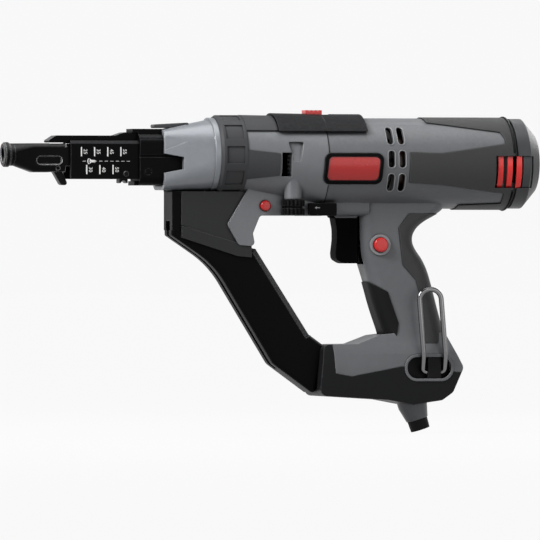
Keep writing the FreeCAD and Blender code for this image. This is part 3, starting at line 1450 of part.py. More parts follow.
def scale_plate():
    """The left plate beside the strip, with its bevelled upper edge."""
    outer = -PLATE_SPREAD / 2
    front = BLOCK_FRONT - PLATE_LENGTH
    middle = DRIVE_HEIGHT - PLATE_DROP
    bottom = middle - PLATE_HEIGHT / 2
    top = middle + PLATE_HEIGHT / 2
    plate = block(front, BLOCK_FRONT, outer, outer + PLATE_THICKNESS, bottom, top)
    upper_edge = lambda edge: edge.BoundBox.YMax < outer + RUN_FIT and edge.BoundBox.ZMin > top - RUN_FIT
    plate = plate.makeChamfer(PLATE_BEVEL, [edge for edge in plate.Edges if upper_edge(edge)])
    axle = rod_y(-PLATE_SPREAD, 0, SPROCKET_AXLE_RADIUS + RUN_FIT, SPROCKET_X, DRIVE_HEIGHT - SPROCKET_DROP)
    return plate.cut(axle)


def strip_rail():
    """The rail over the nosepiece that the empty strip leaves along."""
    bottom = DRIVE_HEIGHT + RAIL_RISE
    top = bottom + RAIL_HEIGHT
    front = BLOCK_FRONT - RAIL_LENGTH
    step = BLOCK_FRONT - RAIL_STEP_START
    outline = [
        (front, bottom),
        (BLOCK_FRONT, bottom),
        (BLOCK_FRONT, top),
        (step + RAIL_STEP_LENGTH, top),
        (step, top - RAIL_STEP_HEIGHT),
        (front + RAIL_SLANT, top - RAIL_STEP_HEIGHT),
    ]
    return slab(outline, -RAIL_WIDTH / 2, RAIL_WIDTH / 2, EDGE_ROUND)


def nosepiece():
    """The tube that rests on the board, with its flared tip and sliding tail."""
    half = NOSE_TUBE_WIDTH / 2
    bottom = DRIVE_HEIGHT - NOSE_TUBE_DROP - NOSE_TUBE_HEIGHT / 2
    top = bottom + NOSE_TUBE_HEIGHT
    neck_start = NOSE_TIP + TIP_LENGTH
    flare_start = neck_start + TIP_NECK_LENGTH
    tube_start = flare_start + NOSE_FLARE_LENGTH
    tube_end = tube_start + NOSE_TUBE_LENGTH
    tip_profile = [
        (NOSE_TIP, 0),
        (NOSE_TIP, TIP_RADIUS - EDGE_ROUND),
        (NOSE_TIP + EDGE_ROUND, TIP_RADIUS),
        (neck_start - EDGE_ROUND, TIP_RADIUS),
        (neck_start, TIP_NECK_RADIUS),
        (flare_start + EDGE_ROUND, TIP_NECK_RADIUS),
        (flare_start + EDGE_ROUND, 0),
    ]
    neck = TIP_NECK_RADIUS
    flare = Part.makeLoft(
        [
            cross_section(flare_start, neck, DRIVE_HEIGHT - neck, DRIVE_HEIGHT + neck, neck),
            cross_section(tube_start, half, bottom, top, NOSE_TUBE_ROUND),
        ],
        True,
        True,
    )
    tube = passage(tube_start, tube_end, half, bottom, top, NOSE_TUBE_ROUND)
    tail_bottom = DRIVE_HEIGHT - NOSE_TAIL_BOTTOM_GAP
    tail = block(tube_end, tube_end + NOSE_TAIL_LENGTH, -half, half, tail_bottom, top)
    inner = half - NOSE_TAIL_WALL
    web = DRIVE_HEIGHT + NOSE_WEB_RISE
    channel = block(tube_end, tube_end + 2 * NOSE_TAIL_LENGTH, -inner, inner, bottom, web)
    strip_way = block(tube_end - NOSE_STRIP_GAP, tube_end, -inner, inner, bottom - OVERRUN, top + OVERRUN)
    bore = rod_x(NOSE_TIP - OVERRUN, tube_end + OVERRUN, NOSE_BORE_RADIUS, DRIVE_HEIGHT)
    slot_start = NOSE_TIP + NOSE_SLOT_START
    slot_z = DRIVE_HEIGHT - NOSE_SLOT_DROP
    slot = slab(
        [
            (slot_start, slot_z - NOSE_SLOT_HEIGHT / 2),
            (slot_start + NOSE_SLOT_LENGTH, slot_z - NOSE_SLOT_HEIGHT / 2),
            (slot_start + NOSE_SLOT_LENGTH, slot_z + NOSE_SLOT_HEIGHT / 2),
            (slot_start, slot_z + NOSE_SLOT_HEIGHT / 2),
        ],
        -half - OVERRUN,
        -half + NOSE_SLOT_DEPTH,
        NOSE_SLOT_HEIGHT / 2 - RUN_FIT,
    )
    pin = rod_y(-half, half, FINGER_PIN_RADIUS + RUN_FIT, FINGER_PIVOT_X, DRIVE_HEIGHT - FINGER_PIVOT_DROP)
    solid = fused(turned(tip_profile, DRIVE_HEIGHT), flare, tube, tail)
    return solid.cut([bore, channel, strip_way, slot, mirrored(slot), pin])


def strip_finger():
    """The sprung finger that keeps the strip from running back."""
    z = DRIVE_HEIGHT - FINGER_PIVOT_DROP
    half = FINGER_WIDTH / 2
    thick = FINGER_THICKNESS
    boss = rod_y(-half, half, FINGER_BOSS_RADIUS, FINGER_PIVOT_X, z)
    outline = [
        (FINGER_PIVOT_X - FINGER_BOSS_RADIUS, z),
        (FINGER_PIVOT_X + FINGER_LENGTH - thick, z - FINGER_DROP),
        (FINGER_PIVOT_X + FINGER_LENGTH, z - FINGER_DROP),
        (FINGER_PIVOT_X + FINGER_BOSS_RADIUS, z),
    ]
    arm = slab(outline, -half, half, [0, thick / 2, thick / 2, 0])
    reach = NOSE_TUBE_WIDTH / 2 - EDGE_ROUND
    return fused(boss, arm, rod_y(-reach, reach, FINGER_PIN_RADIUS, FINGER_PIVOT_X, z))


def strip_sprocket():
    """The toothed wheel that draws the strip up."""
    z = DRIVE_HEIGHT - SPROCKET_DROP
    outline = []
    for index in range(SPROCKET_TEETH):
        for share, radius in zip(SPROCKET_ANGLE_SHARES, SPROCKET_RADII):
            angle = 2 * math.pi * (index + share) / SPROCKET_TEETH
            outline.append((SPROCKET_X + radius * math.sin(angle), z + radius * math.cos(angle)))
    wheel = slab(outline, -SPROCKET_WIDTH / 2, SPROCKET_WIDTH / 2)
    reach = PLATE_SPREAD / 2
    return fused(wheel, rod_y(-reach, reach, SPROCKET_AXLE_RADIUS, SPROCKET_X, z))


# Gear train, spindle and bit


def tooth_half_angle(radius, pitch_radius, module):
    """Half of a tooth's angle at a radius, for an involute tooth thinned by the backlash."""
    pressure = math.radians(PRESSURE_ANGLE)
    base = pitch_radius * math.cos(pressure)
    local = math.acos(min(1.0, base / radius))
    at_pitch = (math.pi * module - BACKLASH) / (4 * pitch_radius)
    return at_pitch + math.tan(pressure) - pressure - math.tan(local) + local


def toothed_wheel(module, teeth, x0, x1, height, first_tooth):
    """A spur wheel about a line along X, with its first tooth at an angle from straight up."""
    pitch_radius = module * teeth / 2
    tip = pitch_radius + module * ADDENDUM_SHARE
    root = pitch_radius - module * DEDENDUM_SHARE
    base = pitch_radius * math.cos(math.radians(PRESSURE_ANGLE))
    start = max(base, root)
    radii = [start, (start + pitch_radius) / 2, pitch_radius, (pitch_radius + tip) / 2, tip]
    flank = [(radius, tooth_half_angle(radius, pitch_radius, module)) for radius in radii]
    flank = [(root, flank[0][1])] + flank
    corners = []
    for index in range(teeth):
        middle = math.radians(first_tooth) + 2 * math.pi * index / teeth
        sides = [(r, -a) for r, a in flank] + [(r, a) for r, a in reversed(flank)]
        for radius, angle in sides:
            turn = middle + angle
            corners.append(vec(x0, radius * math.sin(turn), height + radius * math.cos(turn)))
    face = Part.Face(Part.makePolygon(corners + corners[:1]))
    return face.extrude(vec(x1 - x0, 0, 0))


def armature_shaft():
    """The motor shaft with the pinion cut on its front end."""
    shaft = rod_x(MOTOR_FRONT - GEAR_SIDE_GAP, REAR_WEB + BEARING_WIDTH, SHAFT_RADIUS, MOTOR_HEIGHT)
    pinion = toothed_wheel(
        FIRST_MODULE, FIRST_PINION_TEETH, PINION_FRONT, MOTOR_FRONT - GEAR_SIDE_GAP, MOTOR_HEIGHT, 180
    )
    return fused(shaft, pinion)


def armature_core():
    """The slotted iron core."""
    front = STATOR_START + CORE_INSET
    rear = STATOR_START + STATOR_LENGTH - CORE_INSET
    core = tube_x(front, rear, CORE_RADIUS, SHAFT_RADIUS + RUN_FIT, MOTOR_HEIGHT)
    slots = []
    for index in range(CORE_SLOTS):
        half = CORE_SLOT_WIDTH / 2
        z0 = MOTOR_HEIGHT + CORE_RADIUS - CORE_SLOT_DEPTH
        slot = block(front - OVERRUN, rear + OVERRUN, -half, half, z0, MOTOR_HEIGHT + 2 * CORE_RADIUS)
        slot.rotate(vec(0, 0, MOTOR_HEIGHT), ALONG_X, 360 * index / CORE_SLOTS)
        slots.append(slot)
    return core.cut(slots)


def rim_at(x, radius):
    """A test for the round edge of one radius at one station."""

    def matches(edge):
        box = edge.BoundBox
        return abs(box.XMin - x) + box.XLength < RUN_FIT and box.ZLength > 2 * radius - RUN_FIT

    return matches


def winding_ends(front, rear, front_length, rear_length, radius, bore):
    """Two rounded rings of winding at the ends of an iron core."""
    rings = []
    for x0, x1 in ((front - front_length, front), (rear, rear + rear_length)):
        ring = tube_x(x0, x1, radius, bore, MOTOR_HEIGHT)
        far = x0 if x0 < front else x1
        rings.append(round_off(ring, WINDING_ROUND, rim_at(far, radius)))
    return Part.makeCompound(rings)


def armature_windings():
    """The copper winding heads on both ends of the armature's core."""
    front = STATOR_START + CORE_INSET
    rear = STATOR_START + STATOR_LENGTH - CORE_INSET
    bore = SHAFT_RADIUS + RUN_FIT
    return winding_ends(front, rear, WINDING_FRONT_LENGTH, WINDING_REAR_LENGTH, WINDING_RADIUS, bore)


def field_coils():
    """The ends of the field windings on both faces of the stator."""
    rear = STATOR_START + STATOR_LENGTH
    outer = STATOR_RADIUS - COIL_INSET
    inner = STATOR_BORE + COIL_INSET
    return winding_ends(STATOR_START, rear, COIL_FRONT_LENGTH, COIL_REAR_LENGTH, outer, inner)


def commutator():
    """The copper ring that the brushes run on."""
    x0 = COMMUTATOR_FRONT
    return tube_x(x0, x0 + COMMUTATOR_LENGTH, COMMUTATOR_RADIUS, SHAFT_RADIUS + RUN_FIT, MOTOR_HEIGHT)


def fan():
    """The cooling fan behind the gear end."""
    disc = rod_x(FAN_START, FAN_START + FAN_DISC_THICKNESS, FAN_RADIUS, MOTOR_HEIGHT)
    hub = rod_x(FAN_START, FAN_START + FAN_WIDTH, FAN_HUB_RADIUS, MOTOR_HEIGHT)
    blades = []
    for index in range(FAN_BLADES):
        half = FAN_BLADE_THICKNESS / 2
        blade = block(
            FAN_START,
            FAN_START + FAN_WIDTH,
            -half,
            half,
            MOTOR_HEIGHT + FAN_HUB_RADIUS - FAN_BLADE_THICKNESS,
            MOTOR_HEIGHT + FAN_RADIUS - FAN_BLADE_THICKNESS,
        )
        blade.rotate(vec(0, 0, MOTOR_HEIGHT), ALONG_X, 360 * index / FAN_BLADES)
        blades.append(blade)
    bore = rod_x(FAN_START - OVERRUN, FAN_START + 2 * FAN_WIDTH, SHAFT_RADIUS + RUN_FIT, MOTOR_HEIGHT)
    return fused(disc, hub, *blades).cut(bore)


def stator():
    """The field core, with two flats for its windings."""
    rear = STATOR_START + STATOR_LENGTH
    ring = tube_x(STATOR_START, rear, STATOR_RADIUS, STATOR_BORE, MOTOR_HEIGHT)
    half = STATOR_BORE * STATOR_COIL_SHARE
    depth = STATOR_BORE + (STATOR_RADIUS - STATOR_BORE) / 2
    coil_way = block(STATOR_START, rear, -depth, depth, MOTOR_HEIGHT - half, MOTOR_HEIGHT + half)
    return ring.cut(coil_way)


def brush_pair(front, rear, near, far, half_height):
    """A left and a right block beside the commutator."""
    left = block(front, rear, -far, -near, MOTOR_HEIGHT - half_height, MOTOR_HEIGHT + half_height)
    return [left, mirrored(left)]


def brushes():
    """The two carbon brushes."""
    front = COMMUTATOR_FRONT + (COMMUTATOR_LENGTH - BRUSH_WIDTH) / 2
    near = COMMUTATOR_RADIUS + SLIDE_GAP
    pair = brush_pair(front, front + BRUSH_WIDTH, near, near + BRUSH_LENGTH, BRUSH_WIDTH / 2)
    return Part.makeCompound(pair)


def brush_holders():
    """The boxes that guide the brushes and stand on the housing wall."""
    front = COMMUTATOR_FRONT + (COMMUTATOR_LENGTH - BRUSH_WIDTH) / 2
    wall = BRUSH_BOX_WALL
    near = COMMUTATOR_RADIUS + BRUSH_BOX_GAP
    far = MOTOR_RADIUS - HOUSING_WALL - BRUSH_WIDTH / 2
    boxes = brush_pair(front - wall, front + BRUSH_WIDTH + wall, near, far, BRUSH_WIDTH / 2 + wall)
    bore = BRUSH_WIDTH / 2 + RUN_FIT
    depth = COMMUTATOR_RADIUS + SLIDE_GAP + BRUSH_LENGTH + RUN_FIT
    ways = brush_pair(front - RUN_FIT, front + BRUSH_WIDTH + RUN_FIT, near - OVERRUN, depth, bore)
    skin_radius = MOTOR_RADIUS - HOUSING_WALL - RUN_FIT
    wall_skin = rod_x(front - OVERRUN, front + 2 * BRUSH_WIDTH, skin_radius, MOTOR_HEIGHT)
    feet = brush_pair(front - wall, front + BRUSH_WIDTH + wall, far, MOTOR_RADIUS, BRUSH_WIDTH / 2 + wall)
    solids = [fused(box, foot.common(wall_skin)).cut(ways) for box, foot in zip(boxes, feet)]
    return Part.makeCompound(solids)


def bearing(x0, width, outer, inner, height):
    """A ball bearing, as one ring."""
    return tube_x(x0, x0 + width, outer, inner + RUN_FIT, height)


def bearing_plate():
    """The plate between the motor and the gears."""
    rear = MOTOR_FRONT + BEARING_PLATE_THICKNESS
    disc = rod_x(MOTOR_FRONT, rear, MOTOR_RADIUS - HOUSING_WALL - RUN_FIT, MOTOR_HEIGHT)
    cuts = [
        rod_x(rear - BEARING_WIDTH, rear + OVERRUN, BEARING_RADIUS + RUN_FIT, MOTOR_HEIGHT),
        rod_x(MOTOR_FRONT - OVERRUN, rear, SHAFT_RADIUS + GEAR_ROOM, MOTOR_HEIGHT),
        rod_x(
            MOTOR_FRONT - OVERRUN,
            MOTOR_FRONT + COUNTER_BUSH_LENGTH,
            COUNTER_BUSH_RADIUS + RUN_FIT,
            COUNTER_HEIGHT,
        ),
    ]
    return disc.cut(cuts)


def counter_bushes():
    """The two plain bushes of the countershaft."""
    places = (BULKHEAD_REAR - COUNTER_BUSH_LENGTH, MOTOR_FRONT)
    bushes = [
        tube_x(x, x + COUNTER_BUSH_LENGTH, COUNTER_BUSH_RADIUS, COUNTER_RADIUS + RUN_FIT, COUNTER_HEIGHT)
        for x in places
    ]
    return Part.makeCompound(bushes)


def countershaft():
    """The lower shaft with its own pinion."""
    front = BULKHEAD_REAR - COUNTER_BUSH_LENGTH + RUN_FIT
    shaft = rod_x(front, MOTOR_FRONT + COUNTER_BUSH_LENGTH, COUNTER_RADIUS, COUNTER_HEIGHT)
    pinion = toothed_wheel(
        SECOND_MODULE, SECOND_PINION_TEETH, SECOND_PINION_FRONT, FIRST_GEAR_FRONT, COUNTER_HEIGHT, 0
    )
    return fused(shaft, pinion)


def counter_gear():
    """The large gear on the countershaft."""
    wheel = toothed_wheel(
        FIRST_MODULE,
        FIRST_GEAR_TEETH,
        FIRST_GEAR_FRONT,
        FIRST_GEAR_REAR,
        COUNTER_HEIGHT,
        180 / FIRST_GEAR_TEETH,
    )
    return wheel.cut(rod_x(FIRST_GEAR_FRONT, FIRST_GEAR_REAR, COUNTER_RADIUS + RUN_FIT, COUNTER_HEIGHT))


def spindle_gear():
    """The gear on the spindle."""
    wheel = toothed_wheel(
        SECOND_MODULE,
        SECOND_GEAR_TEETH,
        SECOND_GEAR_FRONT,
        SPINDLE_REAR,
        DRIVE_HEIGHT,
        180 + 180 / SECOND_GEAR_TEETH,
    )
    return wheel.cut(rod_x(SECOND_GEAR_FRONT, SPINDLE_REAR, SPINDLE_RADIUS + RUN_FIT, DRIVE_HEIGHT))


def hex_bar(x0, x1, across_flats):
    """A six-sided bar on the drive axis."""
    radius = across_flats / math.sqrt(3)
    corners = []
    for index in range(6):
        turn = math.pi * index / 3
        corners.append(vec(x0, radius * math.sin(turn), DRIVE_HEIGHT + radius * math.cos(turn)))
    return Part.Face(Part.makePolygon(corners + corners[:1])).extrude(vec(x1 - x0, 0, 0))


def spindle():
    """The output spindle with the bit holder on its front."""
    shoulder = BULKHEAD_REAR - SPINDLE_BEARING_WIDTH
    shaft = rod_x(shoulder, SPINDLE_REAR, SPINDLE_RADIUS, DRIVE_HEIGHT)
    holder = rod_x(HOLDER_FRONT, shoulder, HOLDER_RADIUS, DRIVE_HEIGHT)
    across = BIT_ACROSS_FLATS + 2 * RUN_FIT
    socket = hex_bar(HOLDER_FRONT - OVERRUN, HOLDER_FRONT + BIT_SOCKET_DEPTH, across)
    return fused(shaft, holder).cut(socket)


def drive_bit():
    """The long hexagonal bit with its tapered tip."""
    shank = hex_bar(BIT_TIP, HOLDER_FRONT + BIT_SOCKET_DEPTH, BIT_ACROSS_FLATS)
    radius = BIT_ACROSS_FLATS / math.sqrt(3)
    profile = [
        (BIT_TIP, 0),
        (BIT_TIP, BIT_TIP_RADIUS),
        (BIT_TIP + BIT_TIP_LENGTH, radius),
        (HOLDER_FRONT + BIT_SOCKET_DEPTH, radius),
        (HOLDER_FRONT + BIT_SOCKET_DEPTH, 0),
    ]
    return shank.common(turned(profile, DRIVE_HEIGHT))


def return_spring():
    """The spring that pushes the feed block forward."""
    front = BLOCK_TAIL - SPRING_POCKET_DEPTH
    outer = SPRING_RADIUS + SPRING_WIRE / 2
    return tube_x(front, BULKHEAD_FRONT, outer, SPRING_RADIUS - SPRING_WIRE / 2, DRIVE_HEIGHT)


# Controls


def trigger():
    """The trigger with its hollowed front and its stem."""
    rear = TRIGGER_FRONT + TRIGGER_DEPTH
    bottom = TRIGGER_TOP - TRIGGER_HEIGHT
    middle = TRIGGER_TOP - TRIGGER_HEIGHT / 2
    half = TRIGGER_WIDTH / 2
    outline = shares_to_points(
        TRIGGER_X_SHARES, TRIGGER_Z_SHARES, TRIGGER_FRONT, TRIGGER_DEPTH, bottom, TRIGGER_HEIGHT
    )
    body = slab(outline, -half, half, list(TRIGGER_ROUNDS))
    body = round_off(body, TRIGGER_SIDE_ROUND, lies_at_sides(half))
    stem_half = TRIGGER_STEM_HEIGHT / 2
    stem = block(
        rear - OVERRUN,
        rear + TRIGGER_STEM_LENGTH,
        -TRIGGER_STEM_WIDTH / 2,
        TRIGGER_STEM_WIDTH / 2,
        middle - stem_half,
        middle + stem_half,
    )
    return fused(body, stem)


def switch_body():
    """The switch inside the grip, with the bore that the trigger's stem slides in."""
    middle = TRIGGER_TOP - TRIGGER_HEIGHT / 2
    front = TRIGGER_FRONT + TRIGGER_DEPTH + TRIGGER_TRAVEL + SLIDE_GAP
    half = SWITCH_WIDTH / 2
    rise = SWITCH_HEIGHT / 2
    body = block(front, front + SWITCH_LENGTH, -half, half, middle - rise, middle + rise)
    pin_reach = GRIP_WIDTH * SWITCH_PIN_SHARE
    pin = rod_y(
        -pin_reach,
        pin_reach,
        SWITCH_PIN_RADIUS,
        front + SWITCH_LENGTH / 2,
        middle + SWITCH_HEIGHT / 2 - 2 * SWITCH_PIN_RADIUS,
    )
    wide = TRIGGER_STEM_WIDTH / 2 + SLIDE_GAP
    tall = TRIGGER_STEM_HEIGHT / 2 + SLIDE_GAP
    way = block(front - OVERRUN, front + TRIGGER_STEM_LENGTH, -wide, wide, middle - tall, middle + tall)
    return fused(body, pin).cut(way)


def button(radius, surface, proud, stem, x, z):
    """A round button on the left side, with its rim rounded."""
    shape = rod_y(surface - proud, surface + stem, radius, x, z)
    rim = lambda edge: edge.BoundBox.YMax < surface - proud + RUN_FIT
    return round_off(shape, DOME_ROUND, rim)


def lock_button():
    """The red lock-on button."""
    return button(LOCK_RADIUS, -GRIP_WIDTH / 2, LOCK_PROUD, LOCK_STEM, LOCK_X, LOCK_HEIGHT)


def release_button():
    """The red button on the strut that frees the track."""
    surface = -STRUT_WIDTH / 2
    return button(RELEASE_RADIUS, surface, RELEASE_PROUD, RELEASE_STEM, RELEASE_X, RELEASE_HEIGHT)


def direction_lever():
    """The lever across the neck with a pad on each side."""
    near = NECK_WIDTH / 2 + LEVER_PAD_GAP
    far = near + LEVER_PAD_THICKNESS
    half = LEVER_BAR_LENGTH / 2
    tall = LEVER_BAR_HEIGHT / 2
    bar = block(LEVER_X - half, LEVER_X + half, -near, near, LEVER_HEIGHT - tall, LEVER_HEIGHT + tall)
    pad_half = LEVER_PAD_LENGTH / 2
    pad_tall = LEVER_PAD_HEIGHT / 2
    outline = [
        (LEVER_X - pad_half, LEVER_HEIGHT - pad_tall),
        (LEVER_X + pad_half, LEVER_HEIGHT - pad_tall),
        (LEVER_X + pad_half, LEVER_HEIGHT + pad_tall),
        (LEVER_X - pad_half, LEVER_HEIGHT + pad_tall),
    ]
    pad = slab(outline, -far, -near, EDGE_ROUND)
    pin = rod_z(NECK_BOTTOM + EDGE_ROUND, LEVER_HEIGHT, LEVER_PIN_RADIUS, LEVER_X, 0)
    return fused(bar, pad, mirrored(pad), pin)


def depth_wheel():
    """The fluted thumbwheel that sets the depth, with a waist round its middle."""
    top = WHEEL_BOTTOM + WHEEL_HEIGHT
    middle = WHEEL_BOTTOM + WHEEL_HEIGHT / 2
    wheel = rod_z(WHEEL_BOTTOM, top, WHEEL_RADIUS, PILLAR_X, PILLAR_Y)
    flutes = []
    for index in range(WHEEL_FLUTES):
        turn = 2 * math.pi * index / WHEEL_FLUTES
        x = PILLAR_X + WHEEL_RADIUS * math.cos(turn)
        y = PILLAR_Y + WHEEL_RADIUS * math.sin(turn)
        flutes.append(rod_z(WHEEL_BOTTOM, top, WHEEL_FLUTE_RADIUS, x, y))
    waist = rod_z(middle - WHEEL_WAIST / 2, middle + WHEEL_WAIST / 2, 2 * WHEEL_RADIUS, PILLAR_X, PILLAR_Y)
    core = rod_z(WHEEL_BOTTOM, top, WHEEL_RADIUS - WHEEL_WAIST, PILLAR_X, PILLAR_Y)
    return wheel.cut(flutes).cut(waist.cut(core))


def depth_worm():
    """The upright toothed spindle above the thumbwheel."""
    foot = WHEEL_BOTTOM + WHEEL_HEIGHT
    top = WORM_BOTTOM + WORM_TEETH * WORM_PITCH
    profile = [(0, foot), (WORM_CORE_RADIUS, foot), (WORM_CORE_RADIUS, WORM_BOTTOM)]
    for index in range(WORM_TEETH):
        z = WORM_BOTTOM + index * WORM_PITCH
        for share, radius in zip(WORM_RISE_SHARES, WORM_RADII):
            profile.append((radius, z + WORM_PITCH * share))
    profile += [(WORM_CORE_RADIUS, top), (0, top)]
    corners = [vec(PILLAR_X + radius, PILLAR_Y, z) for radius, z in profile]
    face = Part.Face(Part.makePolygon(corners + corners[:1]))
    return face.revolve(vec(PILLAR_X, PILLAR_Y, 0), ALONG_Z, 360)


def slider_place():
    """The bit-release slider's level and its pocket's rear end."""
    level = MOTOR_HEIGHT + MOTOR_RADIUS + TOP_PLATE_LIFT - SLIDER_SINK
    rear = SLIDER_FRONT + SLIDER_LENGTH + SLIDER_TRAVEL
    return level, rear


def top_plate():
    """The black plate on top of the gear case and the motor's front."""
    top = MOTOR_HEIGHT + MOTOR_RADIUS
    outer = fused(case_form(TOP_PLATE_LIFT), motor_form(TOP_PLATE_LIFT))
    rear = TOP_PLATE_FRONT + TOP_PLATE_LENGTH
    keep = block(TOP_PLATE_FRONT, rear, -MOTOR_RADIUS, MOTOR_RADIUS, top - TOP_PLATE_DROP, 2 * top)
    level, pocket_rear = slider_place()
    half = SLIDER_WIDTH / 2 + SLIDE_GAP
    pocket = block(SLIDER_FRONT - SLIDE_GAP, pocket_rear + SLIDE_GAP, -half, half, level, 2 * top)
    return outer.common(keep).cut([case_form(0), motor_form(0), pocket])


def bit_slider():
    """The red slider in the top plate, with finger ribs."""
    level, _ = slider_place()
    half = SLIDER_WIDTH / 2
    body = block(SLIDER_FRONT, SLIDER_FRONT + SLIDER_LENGTH, -half, half, level, level + SLIDER_HEIGHT)
    pitch = SLIDER_LENGTH / (SLIDER_RIBS + 1)
    grooves = []
    for index in range(SLIDER_RIBS):
        x = SLIDER_FRONT + pitch * (index + 1)
        grooves.append(rod_y(-SLIDER_WIDTH, SLIDER_WIDTH, EDGE_ROUND, x, level + SLIDER_HEIGHT))
    return body.cut(grooves)


def badge_frame():
    """The dark frame round the badge on the left side."""
    return badge_piece(0, BADGE_LIFT).cut(badge_piece(BADGE_FRAME, BADGE_LIFT))


def badge_plate():
    """The bare red badge plate."""
    return badge_piece(BADGE_FRAME, BADGE_LIFT - BADGE_PLATE_SINK)


def cord_guard():
    """The soft sleeve that comes out of the cord bush."""
    top = BASE_FLOOR - BUSH_LENGTH
    sleeve = Part.makeCone(
        GUARD_END_RADIUS, GUARD_RADIUS, GUARD_LENGTH, vec(BUSH_X, 0, top - GUARD_LENGTH), ALONG_Z
    )
    return tilted(sleeve.cut(rod_z(top - GUARD_LENGTH, top, CORD_BORE_RADIUS, BUSH_X, 0)))


def build():
    """Every node of the tool by name."""
    body = housing()
    left_plate = scale_plate()
    front_bearing = MOTOR_FRONT + BEARING_PLATE_THICKNESS - BEARING_WIDTH
    return {
        "housing_left": half_of(body, -1),
        "housing_right": half_of(body, 1),
        "housing_screws": housing_screws(),
        "base_shoe": base_shoe(),
        "motor_panel": motor_panel(),
        "grip_rear_panel": rear_grip_panel(),
        "grip_front_panel": front_grip_panel(),
        "badge_frame": badge_frame(),
        "badge_plate": badge_plate(),
        "rear_cap": rear_cap(),
        "cap_inserts": cap_inserts(),
        "vent_fins": vent_fins(),
        "gear_case": gear_case(),
        "collar": collar(),
        "barrel": barrel(),
        "top_plate": top_plate(),
        "lock_ring": lock_ring(),
        "strip_track": strip_track(),
        "track_bracket": track_bracket(),
        "cord_bush": bush_solid(CORD_BORE_RADIUS),
        "cord_guard": cord_guard(),
        "stator": stator(),
        "field_coils": field_coils(),
        "brushes": brushes(),
        "brush_holders": brush_holders(),
        "bearing_plate": bearing_plate(),
        "front_bearing": bearing(front_bearing, BEARING_WIDTH, BEARING_RADIUS, SHAFT_RADIUS, MOTOR_HEIGHT),
        "rear_bearing": bearing(REAR_WEB, BEARING_WIDTH, BEARING_RADIUS, SHAFT_RADIUS, MOTOR_HEIGHT),
        "spindle_bearing": bearing(
            BULKHEAD_REAR - SPINDLE_BEARING_WIDTH,
            SPINDLE_BEARING_WIDTH,
            SPINDLE_BEARING_RADIUS,
            SPINDLE_RADIUS,
            DRIVE_HEIGHT,
        ),
        "counter_bushes": counter_bushes(),
        "switch_body": switch_body(),
        "armature_shaft": armature_shaft(),
        "armature_core": armature_core(),
        "armature_windings": armature_windings(),
        "commutator": commutator(),
        "fan": fan(),
        "countershaft": countershaft(),
        "counter_gear": counter_gear(),
        "spindle": spindle(),
        "spindle_gear": spindle_gear(),
        "drive_bit": drive_bit(),
        "return_spring": return_spring(),
        "feed_block": feed_block(),
        "scale_plate_left": left_plate,
        "scale_plate_right": mirrored(left_plate),
        "strip_rail": strip_rail(),
        "strip_sprocket": strip_sprocket(),
        "nosepiece": nosepiece(),
        "strip_finger": strip_finger(),
        "latch_bar": latch_bar(),
        "trigger": trigger(),
        "lock_button": lock_button(),
        "release_button": release_button(),
        "direction_lever": direction_lever(),
        "depth_wheel": depth_wheel(),
        "depth_worm": depth_worm(),
        "bit_slider": bit_slider(),
        "hook_rim": hook_rim(),
        "hook_pad": hook_pad(),
        "wire_hook": wire_hook(),
    }


if __name__ == "__main__":
    os.makedirs("parts", exist_ok=True)
    for node, shape in build().items():
        shape.exportStep(f"parts/{node}.step")
        print(node, shape.isValid(), len(shape.Solids), round(shape.Volume))
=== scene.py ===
"""Dresses the collated drywall screwdriver: finishes, marks, spring, trim, floor, light and camera."""

from __future__ import annotations

import json
import logging
import math
from dataclasses import dataclass, replace
from enum import Enum
from typing import Iterable, Sequence

import bmesh
import bpy
from mathutils import Matrix, Vector

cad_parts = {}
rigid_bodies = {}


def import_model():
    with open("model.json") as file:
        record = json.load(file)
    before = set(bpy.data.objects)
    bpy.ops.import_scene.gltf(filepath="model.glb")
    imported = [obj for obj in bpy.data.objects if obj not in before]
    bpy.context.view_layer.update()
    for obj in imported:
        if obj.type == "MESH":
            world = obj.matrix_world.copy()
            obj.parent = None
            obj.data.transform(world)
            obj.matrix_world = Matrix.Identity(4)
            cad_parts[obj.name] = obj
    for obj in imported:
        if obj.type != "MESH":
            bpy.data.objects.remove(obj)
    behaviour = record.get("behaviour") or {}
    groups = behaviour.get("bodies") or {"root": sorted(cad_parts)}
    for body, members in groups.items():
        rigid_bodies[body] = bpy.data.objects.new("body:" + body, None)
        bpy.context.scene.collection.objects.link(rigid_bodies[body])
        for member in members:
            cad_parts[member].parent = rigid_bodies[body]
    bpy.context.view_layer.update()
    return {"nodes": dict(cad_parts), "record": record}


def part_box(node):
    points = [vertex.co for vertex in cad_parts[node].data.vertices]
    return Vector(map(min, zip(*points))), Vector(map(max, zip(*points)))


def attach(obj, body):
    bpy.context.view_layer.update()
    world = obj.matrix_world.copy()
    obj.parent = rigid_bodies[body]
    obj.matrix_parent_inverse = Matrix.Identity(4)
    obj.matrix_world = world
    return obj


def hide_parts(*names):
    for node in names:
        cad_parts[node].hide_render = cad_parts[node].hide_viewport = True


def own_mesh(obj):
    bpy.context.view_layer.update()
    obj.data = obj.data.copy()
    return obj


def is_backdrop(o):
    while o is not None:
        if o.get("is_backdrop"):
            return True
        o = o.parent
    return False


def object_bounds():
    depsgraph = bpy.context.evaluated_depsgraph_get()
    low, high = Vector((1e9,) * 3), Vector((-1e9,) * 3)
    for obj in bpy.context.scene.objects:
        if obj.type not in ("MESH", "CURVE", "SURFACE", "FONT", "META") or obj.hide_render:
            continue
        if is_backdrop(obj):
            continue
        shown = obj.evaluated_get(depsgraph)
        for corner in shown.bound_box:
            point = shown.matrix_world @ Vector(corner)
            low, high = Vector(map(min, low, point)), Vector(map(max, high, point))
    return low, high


LOG = logging.getLogger("screwdriver")
MM = 0.001
QUARTER_TURN = math.radians(90.0)
FULL_TURN = 360.0
WHITE = (1.0, 1.0, 1.0, 1.0)
